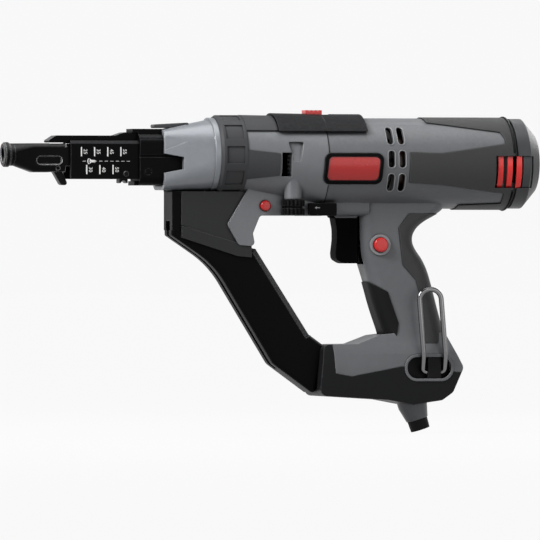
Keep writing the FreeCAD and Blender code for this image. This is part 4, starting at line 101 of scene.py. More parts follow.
Colour = tuple[float, float, float]
Span = tuple[float, float]
Corner = tuple[float, float]
Nodes = dict[str, bpy.types.Object]
Socket = bpy.types.NodeSocket
Tree = bpy.types.NodeTree


class Texture(Enum):
    """The kinds of surface that the screwdriver's finishes have."""

    MOULDED = "moulded"
    RUBBER = "rubber"
    CAST = "cast"
    BRUSHED = "brushed"
    POLISHED = "polished"
    PRINTED = "printed"


class Body(Enum):
    """The bodies that added pieces ride on."""

    TOOL = "tool_body"
    FEED = "feed_head"
    LEVER = "direction_lever"


@dataclass(frozen=True)
class Finish:
    """One finish of the screwdriver.

    Args:
        name: the material's name.
        slot: the record's material slot that it stands for.
        colour: linear base colour.
        rub_and_highlight_colour: linear colour of scuffed edges and of the painted highlight along them,
            also used for the painted top light.
        roughness: middle roughness.
        grain: height of the surface grain.
        grain_scale: fineness of the surface grain, per metre.
        texture: the kind of surface.
        metallic: share of bare metal.
        edge: width of the softened edges, in metres.
        wear: how strongly edges show scuffing and a painted highlight.
        drift: how far the tone drifts over the piece.
        coat: weight of a clear gloss layer.
        shine: share of plain surface reflection.
        seam: how far from a seam or corner the painted shade reaches, in metres.
        grime: how dark the painted shade in joints and corners is.
        dust: how much paler faces that look up are painted, as light from above.
    """

    name: str
    slot: str
    colour: Colour
    rub_and_highlight_colour: Colour
    roughness: float
    grain: float
    grain_scale: float = 2600.0
    texture: Texture = Texture.MOULDED
    metallic: float = 0.0
    edge: float = 0.0006
    wear: float = 0.3
    drift: float = 0.12
    coat: float = 0.0
    shine: float = 0.5
    seam: float = 0.003
    grime: float = 0.75
    dust: float = 0.08


GREY_BODY = Finish(
    "body_grey", "grey_body", colour=(0.109, 0.113, 0.121), rub_and_highlight_colour=(0.40, 0.405, 0.415), roughness=0.42,
    grain=0.16, edge=0.0010, wear=0.55, drift=0.22, shine=0.4, dust=0.14,
)
GREY_CASE = Finish(
    "case_grey", "grey_case", colour=(0.136, 0.141, 0.150), rub_and_highlight_colour=(0.36, 0.365, 0.375), roughness=0.45,
    grain=0.14, grain_scale=1900.0, texture=Texture.CAST, metallic=0.12,
    edge=0.0010, wear=0.34, drift=0.22, dust=0.14,
)
DARK_GREY = Finish(
    "shoe_dark_grey", "dark_grey", colour=(0.044, 0.0455, 0.048), rub_and_highlight_colour=(0.17, 0.175, 0.18), roughness=0.44,
    grain=0.2, grain_scale=2400.0, edge=0.0010, wear=0.5, drift=0.2, shine=0.3,
)
LIGHT_GREY = Finish(
    "insert_light_grey", "light_grey", colour=(0.27, 0.275, 0.285), rub_and_highlight_colour=(0.4, 0.4, 0.41), roughness=0.4,
    grain=0.12,
)
SILVER_CASE = Finish(
    "barrel_silver", "silver_case", colour=(0.218, 0.231, 0.251), rub_and_highlight_colour=(0.62, 0.64, 0.66), roughness=0.32,
    grain=0.10, grain_scale=2200.0, texture=Texture.CAST, metallic=0.25, edge=0.0010, wear=0.55, drift=0.2,
)
BLACK_PLASTIC = Finish(
    "moulded_black", "black_plastic", colour=(0.0022, 0.0022, 0.0025), rub_and_highlight_colour=(0.12, 0.122, 0.128),
    roughness=0.38, grain=0.16, edge=0.0009, wear=0.6, shine=0.035, dust=0.2,
)
BLACK_RUBBER = Finish(
    "soft_black", "black_rubber", colour=(0.026, 0.0262, 0.027), rub_and_highlight_colour=(0.15, 0.152, 0.155), roughness=0.62,
    grain=0.5, grain_scale=900.0, texture=Texture.RUBBER, edge=0.001, wear=0.55, drift=0.25, shine=0.4,
)
RED_PLASTIC = Finish(
    "control_red", "red_plastic", colour=(0.56, 0.012, 0.010), rub_and_highlight_colour=(0.70, 0.10, 0.08), roughness=0.26,
    grain=0.05, grain_scale=3000.0, edge=0.0005, wear=0.25, coat=0.2, shine=0.35,
)
DARK_STEEL = Finish(
    "blackened_steel", "dark_steel", colour=(0.0026, 0.0026, 0.003), rub_and_highlight_colour=(0.42, 0.42, 0.43), roughness=0.3,
    grain=0.08, grain_scale=1500.0, texture=Texture.BRUSHED, metallic=0.04,
    edge=0.0009, wear=0.8, shine=0.08, dust=0.24,
)
BRIGHT_STEEL = Finish(
    "machined_steel", "bright_steel", colour=(0.52, 0.52, 0.53), rub_and_highlight_colour=(0.68, 0.68, 0.69), roughness=0.26,
    grain=0.06, grain_scale=1800.0, texture=Texture.BRUSHED, metallic=1.0, edge=0.0003,
)
BRASS = Finish(
    "plain_brass", "brass", colour=(0.62, 0.43, 0.18), rub_and_highlight_colour=(0.75, 0.56, 0.28), roughness=0.3,
    grain=0.05, grain_scale=1800.0, texture=Texture.BRUSHED, metallic=1.0, edge=0.0003, wear=0.2,
)
CHROME_WIRE = Finish(
    "hook_chrome", "chrome_wire", colour=(0.17, 0.17, 0.174), rub_and_highlight_colour=(0.42, 0.42, 0.43), roughness=0.13,
    grain=0.02, grain_scale=1600.0, texture=Texture.POLISHED, metallic=1.0,
    edge=0.0004, wear=0.1, drift=0.06,
)
WHITE_PRINT = Finish(
    "scale_white", "black_plastic", colour=(0.78, 0.78, 0.77), rub_and_highlight_colour=(0.85, 0.85, 0.84), roughness=0.5,
    grain=0.03, texture=Texture.PRINTED, edge=0.0002, wear=0.1, drift=0.1,
)
# The copper is painted nearly black, as painted shade, so that the motor's vents look dark inside.
SHADED_COPPER_WIRE = Finish(
    "winding_copper", "copper_wire", colour=(0.026, 0.009, 0.005), rub_and_highlight_colour=(0.07, 0.024, 0.012),
    roughness=0.38, grain=0.1, grain_scale=2400.0, texture=Texture.BRUSHED, metallic=0.2,
    edge=0.0002, wear=0.2, coat=0.3,
)
COLLAR_GREY = Finish(
    "collar_dark_grey", "black_plastic", colour=(0.052, 0.053, 0.0555), rub_and_highlight_colour=(0.12, 0.122, 0.125),
    roughness=0.5, grain=0.2, grain_scale=2400.0, edge=0.0008, wear=0.4, shine=0.14, dust=0.0,
)
SHOE_BLACK = Finish(
    "shoe_black", "dark_grey", colour=(0.011, 0.0114, 0.0122), rub_and_highlight_colour=(0.17, 0.173, 0.178), roughness=0.46,
    grain=0.22, grain_scale=2400.0, edge=0.0010, wear=0.6, shine=0.25,
)
GRIP_RUBBER = Finish(
    "grip_soft_black", "black_rubber", colour=(0.0045, 0.0046, 0.005), rub_and_highlight_colour=(0.06, 0.061, 0.063),
    roughness=0.6, grain=0.5, grain_scale=900.0, texture=Texture.RUBBER, edge=0.001, wear=0.5, shine=0.12,
)
RIM_GREY = Finish(
    "vent_rim_grey", "grey_body", colour=(0.24, 0.245, 0.255), rub_and_highlight_colour=(0.34, 0.345, 0.355), roughness=0.38,
    grain=0.1,
)
# Its strong painted top light lightens the track's upward bevel and the rail's chamfers.
TRACK_BLACK = replace(BLACK_PLASTIC, name="track_black", dust=0.8)
# Its near-white edge colour paints bright highlights along the nosepiece's edges and slot rim.
NOSE_BLACK = replace(
    DARK_STEEL, name="nose_black", colour=(0.0012, 0.0012, 0.0014), rub_and_highlight_colour=(0.8, 0.8, 0.81),
    wear=0.95, edge=0.0013, dust=0.05, shine=0.06,
)
BASE_BLACK = replace(SHOE_BLACK, name="base_black", colour=(0.0075, 0.0078, 0.0084), shine=0.1)
TRIGGER_BLACK = replace(BLACK_PLASTIC, name="trigger_black", roughness=0.5, shine=0.01, dust=0.05)
# A brighter copy of the red, with the light on the rear fins painted into it.
LIT_FIN_RED = replace(RED_PLASTIC, name="fin_red", colour=(0.86, 0.022, 0.018))
BADGE_RED = replace(RED_PLASTIC, name="badge_red", colour=(0.43, 0.010, 0.009))
PIECE_FINISHES: dict[str, Finish] = {
    "strip_track": TRACK_BLACK,
    "strip_rail": TRACK_BLACK,
    "latch_bar": DARK_GREY,
    "trigger": TRIGGER_BLACK,
    "nosepiece": NOSE_BLACK,
    "strip_sprocket": DARK_STEEL,
    "depth_worm": LIGHT_GREY,
    "collar": COLLAR_GREY,
    "base_shoe": BASE_BLACK,
    "vent_fins": LIT_FIN_RED,
    "badge_plate": BADGE_RED,
    "release_button": BADGE_RED,
    "track_bracket": SHOE_BLACK,
    "grip_front_panel": GRIP_RUBBER,
    "hook_pad": GRIP_RUBBER,
    "cord_guard": GRIP_RUBBER,
    "cap_inserts": DARK_GREY,
    "lock_ring": LIGHT_GREY,
}
SLOT_FINISHES: dict[str, Finish] = {
    finish.slot: finish
    for finish in (
        GREY_BODY, GREY_CASE, DARK_GREY, LIGHT_GREY, SILVER_CASE, BLACK_PLASTIC, BLACK_RUBBER,
        RED_PLASTIC, DARK_STEEL, BRIGHT_STEEL, BRASS, CHROME_WIRE, SHADED_COPPER_WIRE,
    )
}
SOCKET_KINDS: dict[str, str] = {
    "Geometry": "NodeSocketGeometry",
    "Wall": "NodeSocketObject",
    "Normal": "NodeSocketVector",
    "Colour": "NodeSocketColor",
    "Worn Colour": "NodeSocketColor",
    "Dust Colour": "NodeSocketColor",
}


class NodeSheet:
    """A short way to add and join nodes in one tree."""

    # Where a Mix node keeps its two colours and their mix.
    mix_colours = (6, 7)
    mix_result = 2

    def __init__(self, tree: Tree) -> None:
        """Opens the tree that nodes go in."""
        self.tree = tree

    def feed(self, target: Socket, value: object) -> None:
        """Gives an input its source.

        Args:
            target: the input.
            value: a socket to link, or a plain value.
        """
        if isinstance(value, bpy.types.NodeSocket):
            self.tree.links.new(value, target)
        else:
            target.default_value = value

    def add(self, kind: str, **settings: object) -> bpy.types.Node:
        """Adds a node.

        Args:
            kind: the node's type name.
            settings: the node's properties, and sockets or values for its inputs, by the input's
                name with underscores for spaces.

        Returns:
            The new node.
        """
        node = self.tree.nodes.new(kind)
        for key, value in settings.items():
            if key in node.bl_rna.properties:
                setattr(node, key, value)
            else:
                self.feed(node.inputs[key.replace("_", " ")], value)
        return node

    def maths(self, operation: str, first: object, second: object) -> Socket:
        """Adds a Math node.

        Args:
            operation: the node's operation.
            first: a socket or a number.
            second: a socket or a number.

        Returns:
            The node's output.
        """
        node = self.add("ShaderNodeMath", operation=operation)
        for target, value in zip(node.inputs, (first, second)):
            self.feed(target, value)
        return node.outputs[0]

    def weighted(self, first: Socket, second: Socket, share: float) -> Socket:
        """Adds two values.

        Args:
            first: the first value.
            second: the second value.
            share: how much of the first there is; the second has the rest.

        Returns:
            The sum.
        """
        rest = self.maths("MULTIPLY", second, 1.0 - share)
        return self.maths("ADD", self.maths("MULTIPLY", first, share), rest)

    def remap(self, value: Socket, source: Span, target: Span = (0.0, 1.0), smooth: bool = False) -> Socket:
        """Maps a span of values to another span.

        Args:
            value: the value to map.
            source: the values at which the span starts and ends.
            target: what these become.
            smooth: whether the change eases in and out.

        Returns:
            The mapped value.
        """
        style = "SMOOTHSTEP" if smooth else "LINEAR"
        node = self.add(
            "ShaderNodeMapRange", interpolation_type=style, Value=value,
            From_Min=source[0], From_Max=source[1], To_Min=target[0], To_Max=target[1],
        )
        return node.outputs["Result"]

    def blend(self, mask: Socket, first: Socket, second: object) -> Socket:
        """Mixes two colours.

        Args:
            mask: how far the second colour shows.
            first: the first colour.
            second: the second colour, a socket or a plain value.

        Returns:
            The mixed colour.
        """
        node = self.add("ShaderNodeMix", data_type="RGBA", Factor=mask)
        for place, colour in zip(self.mix_colours, (first, second)):
            self.feed(node.inputs[place], colour)
        return node.outputs[self.mix_result]

    def noise(self, place: Socket, **settings: object) -> Socket:
        """A noise pattern on a piece's coordinates."""
        return self.add("ShaderNodeTexNoise", Vector=place, **settings).outputs[0]

    def coordinates(self, output: str = "Object") -> Socket:
        """A piece's own coordinates, or another output of the same node."""
        return self.add("ShaderNodeTexCoord").outputs[output]

    def height(self, output: str) -> Socket:
        """The upward part of a coordinate output."""
        return self.add("ShaderNodeSeparateXYZ", Vector=self.coordinates(output)).outputs["Z"]


class GroupSheet(NodeSheet):
    """A new node group with named inputs and outputs."""

    def __init__(self, name: str, kind: str, inputs: Iterable[str], outputs: Iterable[str]) -> None:
        """Makes the group's sockets.

        Args:
            name: the group's name.
            kind: the tree's type name.
            inputs: the inputs' names.
            outputs: the outputs' names.
        """
        super().__init__(bpy.data.node_groups.new(name, kind))
        self.keys = {label: self._socket(label, "INPUT") for label in inputs}
        for label in outputs:
            self._socket(label, "OUTPUT")
        self.given = self.add("NodeGroupInput").outputs
        self.result = self.add("NodeGroupOutput").inputs

    def _socket(self, label: str, side: str) -> str:
        """Makes one socket and gives its identifier."""
        kind = SOCKET_KINDS.get(label, "NodeSocketFloat")
        return self.tree.interface.new_socket(label, in_out=side, socket_type=kind).identifier

    def deliver(self, **results: Socket) -> Tree:
        """Joins the group's outputs.

        Args:
            results: the source of each output.

        Returns:
            The finished group.
        """
        for label, source in results.items():
            self.feed(self.result[label], source)
        return self.tree


class SurfaceEffects:
    """The shader node groups that the finishes share."""

    broad_share = 0.65
    tone_gain = 2.4
    gloss_gain = 1.3
    bevel_samples = 4
    edge_turn: Span = (0.01, 0.22)
    patch_span: Span = (0.32, 0.68)
    patch_share: Span = (0.35, 1.0)
    corner_samples = 6
    corner_span: Span = (0.92, 0.35)
    # Colour of the painted shade in joints and corners.
    seam_black = (0.002, 0.002, 0.0022, 1.0)
    upward_span: Span = (0.12, 0.6)
    speck_span: Span = (0.3, 0.7)
    speck_share: Span = (0.55, 1.0)
    pit_share = 0.5
    dome_share = 0.8
    dome_power = 2.0
    line_stretch = (1.0, 0.06, 0.06)

    def __init__(self) -> None:
        """Builds every group once."""
        self.tone = self._tone_drift()
        self.edges = self._edge_wear()
        self.seams = self._seam_grime()
        self.dust = self._top_dust()
        self.grain = self._moulded_grain()
        self.dimples = self._rubber_dimples()
        self.brush = self._brush_lines()

    @staticmethod
    def _group(name: str, inputs: Sequence[str], outputs: Sequence[str]) -> GroupSheet:
        """Opens a new shader group."""
        return GroupSheet(name, "ShaderNodeTree", inputs, outputs)

    def _tone_drift(self) -> Tree:
        """Makes the slow change of tone and gloss over a piece.

        Returns:
            The group.
        """
        sheet = self._group("tone_drift", ("Colour", "Drift", "Roughness"), ("Colour", "Roughness"))
        place = sheet.coordinates()
        broad = sheet.noise(place, Scale=24.0, Detail=3.0, Roughness=0.55)
        fine = sheet.noise(place, Scale=210.0, Detail=4.0, Roughness=0.6)
        centred = sheet.maths("SUBTRACT", sheet.weighted(broad, fine, self.broad_share), 0.5)
        swing = sheet.maths("MULTIPLY", centred, sheet.given["Drift"])
        gain = sheet.maths("ADD", sheet.maths("MULTIPLY", swing, self.tone_gain), 1.0)
        shade = sheet.add("ShaderNodeHueSaturation", Color=sheet.given["Colour"], Value=gain)
        gloss = sheet.maths("MULTIPLY", swing, self.gloss_gain)
        rough = sheet.maths("ADD", sheet.given["Roughness"], gloss)
        return sheet.deliver(Colour=shade.outputs["Color"], Roughness=rough)

    def _edge_wear(self) -> Tree:
        """Makes soft rounded edges, and a lighter line along them that is partly scuffing from handling and
        partly a painted highlight.

        Returns:
            The group.
        """
        inputs = ("Colour", "Worn Colour", "Width", "Amount")
        sheet = self._group("edge_wear", inputs, ("Colour", "Mask", "Normal"))
        bevel = sheet.add("ShaderNodeBevel", samples=self.bevel_samples, Radius=sheet.given["Width"])
        facing = sheet.add("ShaderNodeVectorMath", operation="DOT_PRODUCT")
        sheet.feed(facing.inputs[0], bevel.outputs["Normal"])
        sheet.feed(facing.inputs[1], sheet.add("ShaderNodeNewGeometry").outputs["Normal"])
        turned = sheet.maths("SUBTRACT", 1.0, facing.outputs["Value"])
        edge = sheet.remap(turned, self.edge_turn, smooth=True)
        patches = sheet.noise(sheet.coordinates(), Scale=140.0, Detail=5.0, Roughness=0.65)
        broken = sheet.maths("MULTIPLY", edge, sheet.remap(patches, self.patch_span, self.patch_share))
        mask = sheet.maths("MULTIPLY", broken, sheet.given["Amount"])
        colour = sheet.blend(mask, sheet.given["Colour"], sheet.given["Worn Colour"])
        return sheet.deliver(Colour=colour, Mask=mask, Normal=bevel.outputs["Normal"])

    def _seam_grime(self) -> Tree:
        """Makes painted shade: the darkening that ambient occlusion finds in joints and corners.

        Returns:
            The group.
        """
        sheet = self._group("seam_grime", ("Colour", "Reach", "Amount"), ("Colour", "Mask"))
        around = sheet.add(
            "ShaderNodeAmbientOcclusion", samples=self.corner_samples, Distance=sheet.given["Reach"]
        )
        shut = sheet.remap(around.outputs["AO"], self.corner_span, smooth=True)
        mask = sheet.maths("MULTIPLY", shut, sheet.given["Amount"])
        return sheet.deliver(Colour=sheet.blend(mask, sheet.given["Colour"], self.seam_black), Mask=mask)

    def _top_dust(self) -> Tree:
        """Makes faces that look up paler, broken by specks: a painted top light.

        Returns:
            The group.
        """
        sheet = self._group("top_dust", ("Colour", "Dust Colour", "Amount"), ("Colour",))
        upward = sheet.remap(sheet.height("Normal"), self.upward_span, smooth=True)
        specks = sheet.noise(sheet.coordinates(), Scale=420.0, Detail=4.0, Roughness=0.7)
        uneven = sheet.maths("MULTIPLY", upward, sheet.remap(specks, self.speck_span, self.speck_share))
        mask = sheet.maths("MULTIPLY", uneven, sheet.given["Amount"])
        return sheet.deliver(Colour=sheet.blend(mask, sheet.given["Colour"], sheet.given["Dust Colour"]))

    def _moulded_grain(self) -> Tree:
        """Makes the fine spark-eroded grain of moulded plastic and castings.

        Returns:
            The group.
        """
        sheet = self._group("moulded_grain", ("Scale",), ("Height",))
        place, scale = sheet.coordinates(), sheet.given["Scale"]
        pits = sheet.add("ShaderNodeTexVoronoi", feature="SMOOTH_F1", Vector=place, Scale=scale)
        grit = sheet.noise(place, Scale=scale, Detail=3.0, Roughness=0.6)
        return sheet.deliver(Height=sheet.weighted(pits.outputs["Distance"], grit, self.pit_share))

    def _rubber_dimples(self) -> Tree:
        """Makes the pebbled skin of the soft grip panels.

        Returns:
            The group.
        """
        sheet = self._group("rubber_dimples", ("Scale",), ("Height",))
        place, scale = sheet.coordinates(), sheet.given["Scale"]
        pebbles = sheet.add(
            "ShaderNodeTexVoronoi", feature="F1", Randomness=0.75, Vector=place, Scale=scale
        )
        fine = sheet.noise(place, Scale=5200.0, Detail=2.0)
        hollow = sheet.maths("POWER", pebbles.outputs["Distance"], self.dome_power)
        dome = sheet.maths("SUBTRACT", 1.0, hollow)
        return sheet.deliver(Height=sheet.weighted(dome, fine, self.dome_share))

    def _brush_lines(self) -> Tree:
        """Makes the fine lines that turning and drawing leave along the tool's length.

        Returns:
            The group.
        """
        sheet = self._group("brush_lines", ("Scale",), ("Height",))
        stretch = sheet.add("ShaderNodeMapping", Vector=sheet.coordinates(), Scale=self.line_stretch)
        lines = sheet.noise(
            stretch.outputs["Vector"], Scale=sheet.given["Scale"], Detail=2.0, Roughness=0.5
        )
        return sheet.deliver(Height=lines)


class PaintShop:
    """Makes each finish's material once."""

    grain_depth = 0.0002
    edge_gloss_share = 0.12
    seam_dullness = 0.25
    coat_roughness = 0.12

    def __init__(self, effects: SurfaceEffects) -> None:
        """Opens the shop.

        Args:
            effects: the shared shader groups.
        """
        self.effects = effects
        self.made: dict[str, bpy.types.Material] = {}
        self.surfaces = {
            Texture.RUBBER: effects.dimples,
            Texture.BRUSHED: effects.brush,
            Texture.POLISHED: effects.brush,
        }

    def material(self, finish: Finish) -> bpy.types.Material:
        """Gives a finish's material.

        Args:
            finish: the finish wanted.

        Returns:
            The material, made on first use.
        """
        if finish.name not in self.made:
            self.made[finish.name] = self._mix(finish)
        return self.made[finish.name]

    def _mix(self, finish: Finish) -> bpy.types.Material:
        """Builds a finish's node tree.

        Args:
            finish: the finish to build.

        Returns:
            The new material.
        """
        material = bpy.data.materials.new(finish.name)
        material.use_nodes = True
        colour, rub_and_highlight_colour = (*finish.colour, 1.0), (*finish.rub_and_highlight_colour, 1.0)
        material.diffuse_color = colour
        sheet = NodeSheet(material.node_tree)
        tone = self._place(
            sheet, self.effects.tone, Colour=colour, Drift=finish.drift, Roughness=finish.roughness
        )
        # Paints faces that look up paler: painted top light.
        dust = self._place(
            sheet, self.effects.dust, Colour=tone["Colour"], Dust_Colour=rub_and_highlight_colour, Amount=finish.dust
        )
        # Paints a lighter line along edges: partly scuffing, partly a painted highlight.
        edges = self._place(
            sheet, self.effects.edges, Colour=dust["Colour"], Worn_Colour=rub_and_highlight_colour,
            Width=finish.edge, Amount=finish.wear,
        )
        # Paints shade into joints and corners by ambient occlusion; the same mask also raises roughness
        # there.
        seams = self._place(
            sheet, self.effects.seams, Colour=edges["Colour"], Reach=finish.seam, Amount=finish.grime
        )
        group = self.surfaces.get(finish.texture, self.effects.grain)
        surface = self._place(sheet, group, Scale=finish.grain_scale)
        bump = sheet.add(
            "ShaderNodeBump", Strength=finish.grain, Distance=self.grain_depth,
            Height=surface["Height"], Normal=edges["Normal"],
        )
        edge_gloss = sheet.maths("MULTIPLY", edges["Mask"], self.edge_gloss_share)
        seam_roughening = sheet.maths("MULTIPLY", seams["Mask"], self.seam_dullness)
        rough = sheet.maths("ADD", sheet.maths("SUBTRACT", tone["Roughness"], edge_gloss), seam_roughening)
        shader = material.node_tree.nodes["Principled BSDF"]
        for label, value in (
            ("Base Color", seams["Colour"]),
            ("Roughness", rough),
            ("Normal", bump.outputs["Normal"]),
            ("Metallic", finish.metallic),
            ("Specular IOR Level", finish.shine),
            ("Coat Weight", finish.coat),
            ("Coat Roughness", self.coat_roughness),
        ):
            sheet.feed(shader.inputs[label], value)
        return material

    @staticmethod
    def _place(sheet: NodeSheet, group: Tree, **inputs: object) -> bpy.types.NodeOutputs:
        """Places a shared group in a material.

        Args:
            sheet: the material's tree.
            group: the group.
            inputs: sockets or values for its inputs.

        Returns:
            The placed group's outputs.
        """
        return sheet.add("ShaderNodeGroup", node_tree=group, **inputs).outputs


class ShapeTree(GroupSheet):
    """A Geometry Nodes tree with named sizes, which leaves a plain mesh behind."""

    def __init__(self, name: str, sizes: dict[str, object]) -> None:
        """Makes the tree's sockets.

        Args:
            name: the tree's name.
            sizes: the value of each named input.
        """
        super().__init__(name, "GeometryNodeTree", ("Geometry", *sizes), ("Geometry",))
        self.sizes = sizes

    def sweep(self, path: Socket, radius: Socket, sides: int, caps: bool) -> Socket:
        """Runs a round section along a path.

        Args:
            path: the path.
            radius: the section's radius.
            sides: how many sides the section has.
            caps: whether the ends are closed.

        Returns:
            The swept mesh.
        """
        section = self.add("GeometryNodeCurvePrimitiveCircle", Resolution=sides, Radius=radius)
        swept = self.add(
            "GeometryNodeCurveToMesh", Curve=path, Profile_Curve=section.outputs["Curve"], Fill_Caps=caps
        )
        return swept.outputs["Mesh"]

    def drop(self, path: Socket, direction: object, reach: object) -> Socket:
        """Moves a path's points onto the wall that is one of the tree's inputs.

        Args:
            path: the path.
            direction: which way the points go, a socket or a plain direction.
            reach: how far they may go, a socket or a length.

        Returns:
            The path on the wall.
        """
        wall = self.add("GeometryNodeObjectInfo", Object=self.given["Wall"])
        ray = self.add(
            "GeometryNodeRaycast", Target_Geometry=wall.outputs["Geometry"],
            Ray_Direction=direction, Ray_Length=reach,
        )
        moved = self.add(
            "GeometryNodeSetPosition", Geometry=path,
            Selection=ray.outputs["Is Hit"], Position=ray.outputs["Hit Position"],
        )
        return moved.outputs["Geometry"]

    def make(
        self, name: str, shape: Socket, material: bpy.types.Material, place: Matrix = Matrix.Identity(4)
    ) -> bpy.types.Object:
        """Finishes the tree, runs it once and keeps its mesh.

        Args:
            name: the new piece's name.
            shape: the finished geometry.
            material: its finish.
            place: where the shape goes.

        Returns:
            An object at the origin with a plain, smooth mesh.
        """
        real = self.add("GeometryNodeRealizeInstances", Geometry=shape)
        paint = self.add("GeometryNodeSetMaterial", Geometry=real.outputs["Geometry"], Material=material)
        self.deliver(Geometry=paint.outputs["Geometry"])
        carrier = new_object(name + "_tree", bpy.data.meshes.new(name + "_seed"))
        modifier = carrier.modifiers.new("shape", "NODES")
        modifier.node_group = self.tree
        for label, value in self.sizes.items():
            modifier[self.keys[label]] = value
        ready = carrier.evaluated_get(bpy.context.evaluated_depsgraph_get())
        mesh = bpy.data.meshes.new_from_object(ready)
        carrier.modifiers.remove(modifier)
        bpy.data.objects.remove(carrier)
        mesh.transform(place)
        mesh.name = name
        for face in mesh.polygons:
            face.use_smooth = True
        return new_object(name, mesh)


def new_object(name: str, data: bpy.types.ID) -> bpy.types.Object:
    """Links a new object into the scene.

    Args:
        name: the object's name.
        data: its mesh, curve, camera or light.

    Returns:
        The object.
    """
    item = bpy.data.objects.new(name, data)
    bpy.context.scene.collection.objects.link(item)
    bpy.context.view_layer.update()
    return item


class CadDresser:
    """Gives every CAD node its finish and smooth shading."""

    smooth_limit = math.radians(32.0)
    weld_reach = 2e-6

    def __init__(self, shop: PaintShop, nodes: Nodes, record: dict) -> None:
        """Takes the nodes in.

        Args:
            shop: where finishes come from.
            nodes: the CAD node objects by name.
            record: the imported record.
        """
        self.shop = shop
        self.nodes = nodes
        self.slots = {item["node"]: item["material_slot"] for item in record["subparts"]}

    def dress(self) -> None:
        """Finishes every node."""
        smooth = self._smooth_tree()
        for name, node in self.nodes.items():
            finish = PIECE_FINISHES.get(name) or SLOT_FINISHES[self.slots[name]]
            node.data.materials.clear()
            node.data.materials.append(self.shop.material(finish))
            node.modifiers.new("weld", "WELD").merge_threshold = self.weld_reach
            node.modifiers.new("smooth", "NODES").node_group = smooth
            LOG.info("%s in %s", name, finish.name)

    def _smooth_tree(self) -> Tree:
        """Builds the tree that shades curved faces smooth and keeps real edges sharp.

        Returns:
            The tree.
        """
        sheet = GroupSheet("smooth_by_angle", "GeometryNodeTree", ("Geometry",), ("Geometry",))
        angle = sheet.add("GeometryNodeInputMeshEdgeAngle").outputs["Unsigned Angle"]
        below = sheet.add(
            "FunctionNodeCompare", data_type="FLOAT", operation="LESS_THAN", A=angle, B=self.smooth_limit
        )
        faces = sheet.add("GeometryNodeSetShadeSmooth", domain="FACE", Geometry=sheet.given["Geometry"])
        edges = sheet.add(
            "GeometryNodeSetShadeSmooth", domain="EDGE",
            Geometry=faces.outputs["Geometry"], Shade_Smooth=below.outputs["Result"],
        )
        return sheet.deliver(Geometry=edges.outputs["Geometry"])


class FlatArt:
    """Collects flat printed shapes in one mesh, a hair proud of the face that carries them."""

    def __init__(self) -> None:
        """Starts with nothing printed."""
        self.mesh = bmesh.new()

    def bar(self, length: float, height: float, place: Matrix) -> None:
        """Adds a filled rectangle around the middle of the print's plane.

        Args:
            length: its size along the plane.
            height: its size up the plane.
            place: the print's plane.
        """
        right, high = length / 2, height / 2
        self.polygon(((-right, -high), (right, -high), (right, high), (-right, high)), place)

    def polygon(self, points: Iterable[Corner], place: Matrix) -> None:
        """Adds a filled outline.

        Args:
            points: corners in the print's plane, anticlockwise.
            place: the print's plane.
        """
        corners = [self.mesh.verts.new(place @ Vector((x, y, 0.0))) for x, y in points]
        self.mesh.faces.new(corners)

    def words(self, text: str, size: float, place: Matrix) -> None:
        """Adds a number, centred on the print's plane.

        Args:
            text: the digits.
            size: height of a line.
            place: the print's plane.
        """
        curve = bpy.data.curves.new("digits", "FONT")
        curve.body = text
        curve.size = size
        curve.align_x = "CENTER"
        curve.align_y = "CENTER"
        carrier = new_object("digits", curve)
        ready = carrier.evaluated_get(bpy.context.evaluated_depsgraph_get())
        mesh = bpy.data.meshes.new_from_object(ready)
        mesh.transform(place)
        self.mesh.from_mesh(mesh)
        bpy.data.meshes.remove(mesh)
        bpy.data.objects.remove(carrier)
        bpy.data.curves.remove(curve)

    def finish(self, name: str, material: bpy.types.Material) -> bpy.types.Object:
        """Closes the collection.

        Args:
            name: the piece's name.
            material: its finish.

        Returns:
            The printed piece.
        """
        mesh = bpy.data.meshes.new(name)
        self.mesh.to_mesh(mesh)
        self.mesh.free()
        mesh.materials.clear()
        mesh.materials.append(material)
        return new_object(name, mesh)


def side_plane(x: float, z: float, y: float, turn: float = 0.0) -> Matrix:
    """The plane of a print on one of the tool's sides.

    Args:
        x: the print's middle along the tool.
        z: its height.
        y: the face that it lies on; a negative one looks left.
        turn: turn within the plane, in radians.

    Returns:
        A matrix from the print's plane to the frame.
    """
    upright = Matrix.Rotation(QUARTER_TURN, 4, "X")
    facing = Matrix.Identity(4) if y < 0 else Matrix.Rotation(math.pi, 4, "Z")
    return Matrix.Translation((x, y, z)) @ facing @ upright @ Matrix.Rotation(turn, 4, "Z")


